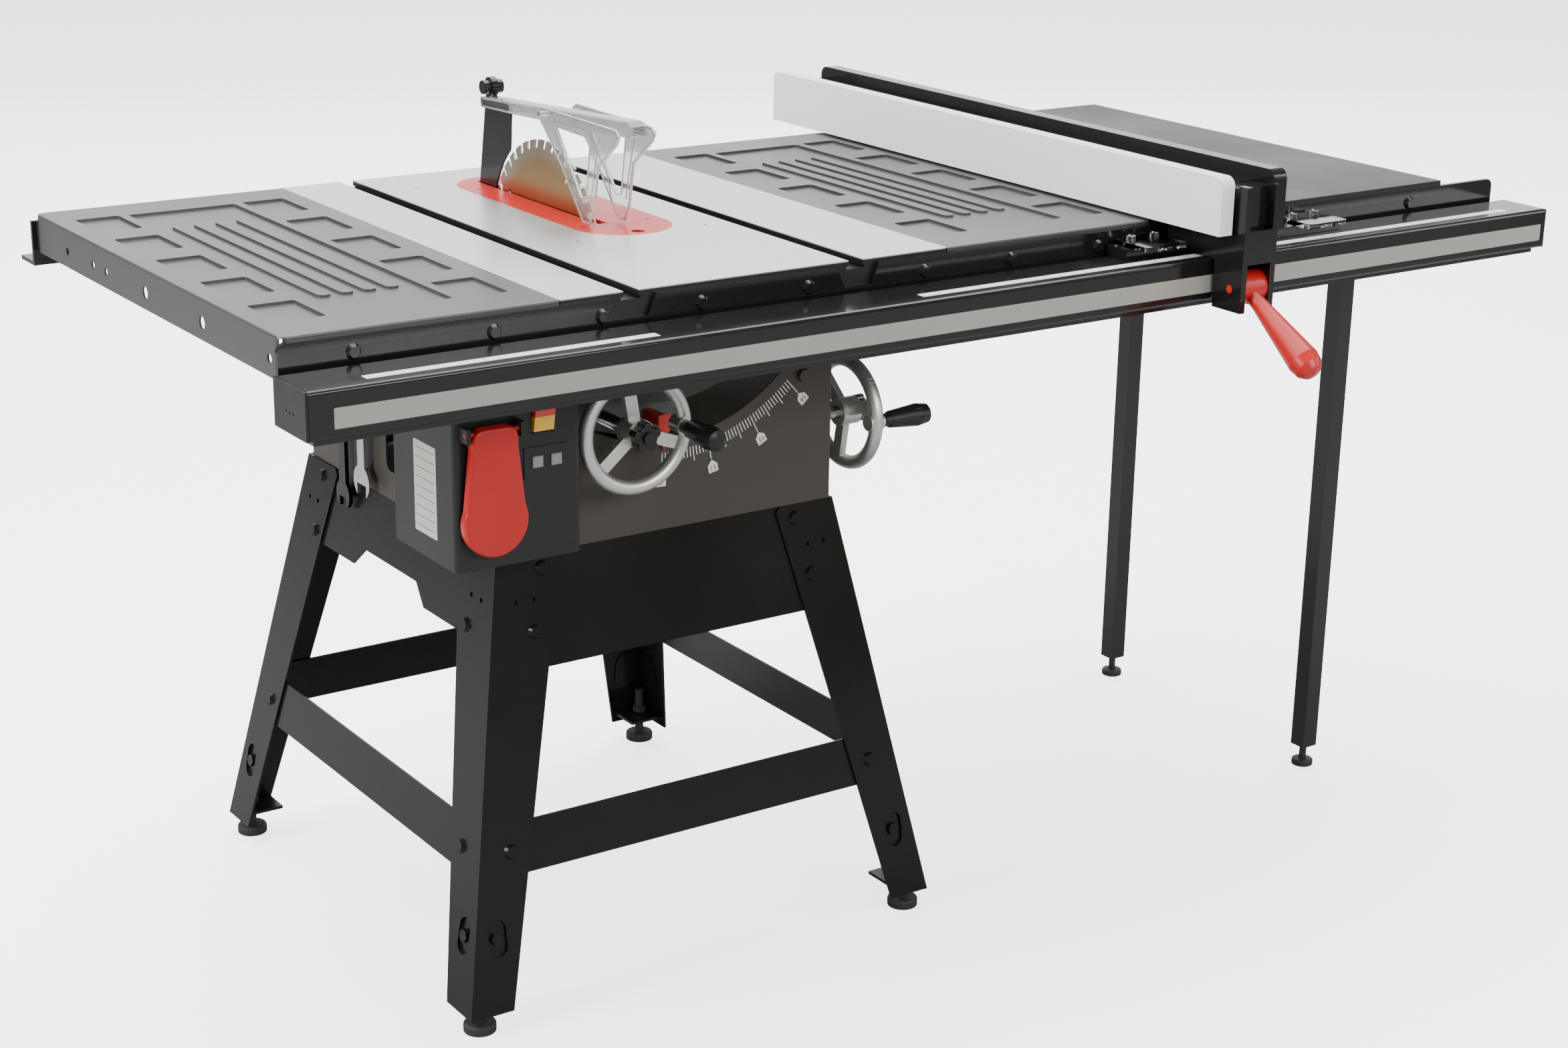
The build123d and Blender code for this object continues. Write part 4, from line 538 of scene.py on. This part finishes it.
def bead_along(bm, points, radius, sides=6, closed=True):
    """A round bead swept along a chain of points that all lie in one upright plane."""
    rings = []
    count = len(points)
    for k, point in enumerate(points):
        ahead = points[(k + 1) % count] if closed or k + 1 < count else point
        behind = points[k - 1] if closed or k else point
        along = (ahead - behind).normalized()
        side = along.cross(east).normalized()
        turns = [2 * math.pi * j / sides for j in range(sides)]
        rings.append([bm.verts.new(point + radius * (math.cos(turn) * side + math.sin(turn) * east))
                      for turn in turns])
    for k in range(count if closed else count - 1):
        first, second = rings[k], rings[(k + 1) % count]
        for j in range(sides):
            bm.faces.new((first[j], first[(j + 1) % sides], second[(j + 1) % sides], second[j]))
    if not closed:
        bm.faces.new(rings[0])
        bm.faces.new(list(reversed(rings[-1])))


outer_v = ((67, 119), (62, 108.5), (12, 62), (-36, 5), (-50, 5), (-60, 22), (-70, 74), (-112, 106),
           (-117, 115), (-110, 121), (60, 123))
inner_v = ((26, 106), (-32, 32), (-44, 34), (-54, 104))
rib_lines = (((44, 116), (-12, 52), (-22, 24)), ((-74, 108), (-61, 60), (-54, 30)))
rim_radius = 0.0017
rib_radius = 0.0014
for side_name, shield_x in (("left", -43.5), ("right", 3.5)):
    rim_bm = bmesh.new()
    for outline in (outer_v, inner_v):
        bead_along(rim_bm, [spot(shield_x, y, z) for y, z in outline], rim_radius)
    for rib in rib_lines:
        bead_along(rim_bm, [spot(shield_x, y, z) for y, z in rib], rib_radius, closed=False)
    bmesh.ops.recalc_face_normals(rim_bm, faces=rim_bm.faces)
    rims = show_mesh("shield_rims_" + side_name, rim_bm, rim_painted_highlight, 60)
    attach(rims, "shield_" + side_name)

# The bar's long edges are beaded, and three moulded bosses stand on each of its sides.
bar_bm = bmesh.new()
bar_outline = ((233, 99), (236, 108), (-110, 129), (-120, 125), (-120, 117), (-111, 114), (168, 101))
for bar_x in (-28.6, -11.4):
    bead_along(bar_bm, [spot(bar_x, y, z) for y, z in bar_outline], 0.0012)
boss_width = 0.009
boss_thick = 0.0004
for boss_y, boss_z in ((-118, 121), (60, 116), (150, 106)):
    for boss_x in (-29, -11):
        centre = spot(boss_x, boss_y, boss_z) - Vector((boss_thick / 2, 0, 0))
        rounded_plate(bar_bm, centre, north, up_way, boss_width, boss_width, boss_thick, 0.0042, 5)
bmesh.ops.recalc_face_normals(bar_bm, faces=bar_bm.faces)
bar_rims = show_mesh("guard_bar_rims", bar_bm, rim_painted_highlight, 60)
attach(bar_rims, "carriage")

# ---- Handwheels ----
# Cast aluminium with three spokes; the rims are turned to a satin finish.
turned_aluminium = coating("turned_aluminium", (0.52, 0.51, 0.48), (0.66, 0.65, 0.62), 0.42, 0.07, metal=0.9,
                           peel_scale=700.0, peel=0.22, speck=0.06, mottle_scale=14.0)
for name in ("elevation_wheel", "tilt_wheel"):
    paint_node(name, turned_aluminium)

# ---- Shafts, rods, screw, bearings, pulleys and plates ----
# Turned and ground steel parts, lightly dusted, as they sit open to the sawdust.
turned_steel = coating("turned_steel", (0.40, 0.395, 0.38), (0.55, 0.54, 0.53), 0.26, 0.08, metal=1.0,
                       peel_scale=900.0, peel=0.12, speck=0.12, mottle_scale=20.0)
for name in ("elevation_shaft", "tilt_shaft", "guide_rods", "elevation_screw", "arbor_bearings",
             "arbor_shaft", "arbor_pulley", "motor_pulley", "arbor_nut", "motor_plate"):
    paint_node(name, turned_steel)

# ---- Blade wrenches ----
# Two flat wrenches hang on pegs at the cabinet's left side, the front one zinc plated
# and the rear one blackened.
bright_zinc = coating("bright_zinc", (0.50, 0.50, 0.50), (0.64, 0.64, 0.63), 0.22, 0.06, metal=1.0,
                      peel_scale=600.0, peel=0.12, speck=0.10, mottle_scale=20.0)
wrench_low, wrench_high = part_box("blade_wrenches")
wrench_split = (wrench_low[1] + wrench_high[1]) / 2
black_one = add_node(bright_zinc.node_tree, "ShaderNodeMath",
                     {0: place_in(bright_zinc, "Y"), 1: wrench_split}, operation="GREATER_THAN")
colour_over(bright_zinc, black_one.outputs[0], (0.03, 0.03, 0.03))
paint_node("blade_wrenches", bright_zinc)

# ---- Cradle castings, motor, belt and feet ----
# The castings are left rough, the motor is painted black, and the belt and the feet
# are black rubber. The tilt pointer is red.
rough_casting = coating("rough_casting", (0.060, 0.060, 0.060), (0.10, 0.10, 0.10), 0.55, 0.08,
                        peel_scale=350.0, peel=0.5, speck=0.3, mottle_scale=16.0)
for name in ("front_trunnion", "rear_trunnion", "cradle_base", "arbor_block"):
    paint_node(name, rough_casting)
motor_black = coating("motor_black", (0.014, 0.014, 0.014), (0.026, 0.026, 0.026), 0.36, 0.08, coat=0.2,
                      peel_scale=350.0, peel=0.25, speck=0.3)
paint_node("motor", motor_black)
belt_rubber = coating("belt_rubber", (0.012, 0.012, 0.012), (0.022, 0.022, 0.022), 0.7, 0.08,
                      peel_scale=900.0, peel=0.5, speck=0.3)
for name in ("drive_belt", "foot_front_left", "foot_front_right", "foot_rear_left", "foot_rear_right",
             "ext_foot_front", "ext_foot_rear"):
    paint_node(name, belt_rubber)
paint_node("tilt_pointer", insert_red)

# ---- Blade ----
# A ground steel plate with carbide teeth, and a straw coloured tint inside the teeth.
blade_low, blade_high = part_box("saw_blade")
blade_centre = tuple((least + most) / 2 for least, most in zip(blade_low, blade_high))
blade_steel = coating("blade_steel", (0.38, 0.36, 0.31), (0.50, 0.47, 0.41), 0.30, 0.06, metal=1.0,
                      peel_scale=900.0, peel=0.15, speck=0.06, mottle_scale=20.0)
blade_tree = blade_steel.node_tree
blade_reach = add_node(blade_tree, "ShaderNodeVectorMath",
                       {0: add_node(blade_tree, "ShaderNodeTexCoord").outputs["Object"], 1: blade_centre},
                       operation="DISTANCE")
straw = add_node(blade_tree, "ShaderNodeMapRange", {"Value": blade_reach.outputs["Value"], "From Min": 0.100,
                                                    "From Max": 0.120, "To Min": 0.85, "To Max": 0.0})
colour_over(blade_steel, straw.outputs["Result"], (0.40, 0.27, 0.10))
paint_node("saw_blade", blade_steel)
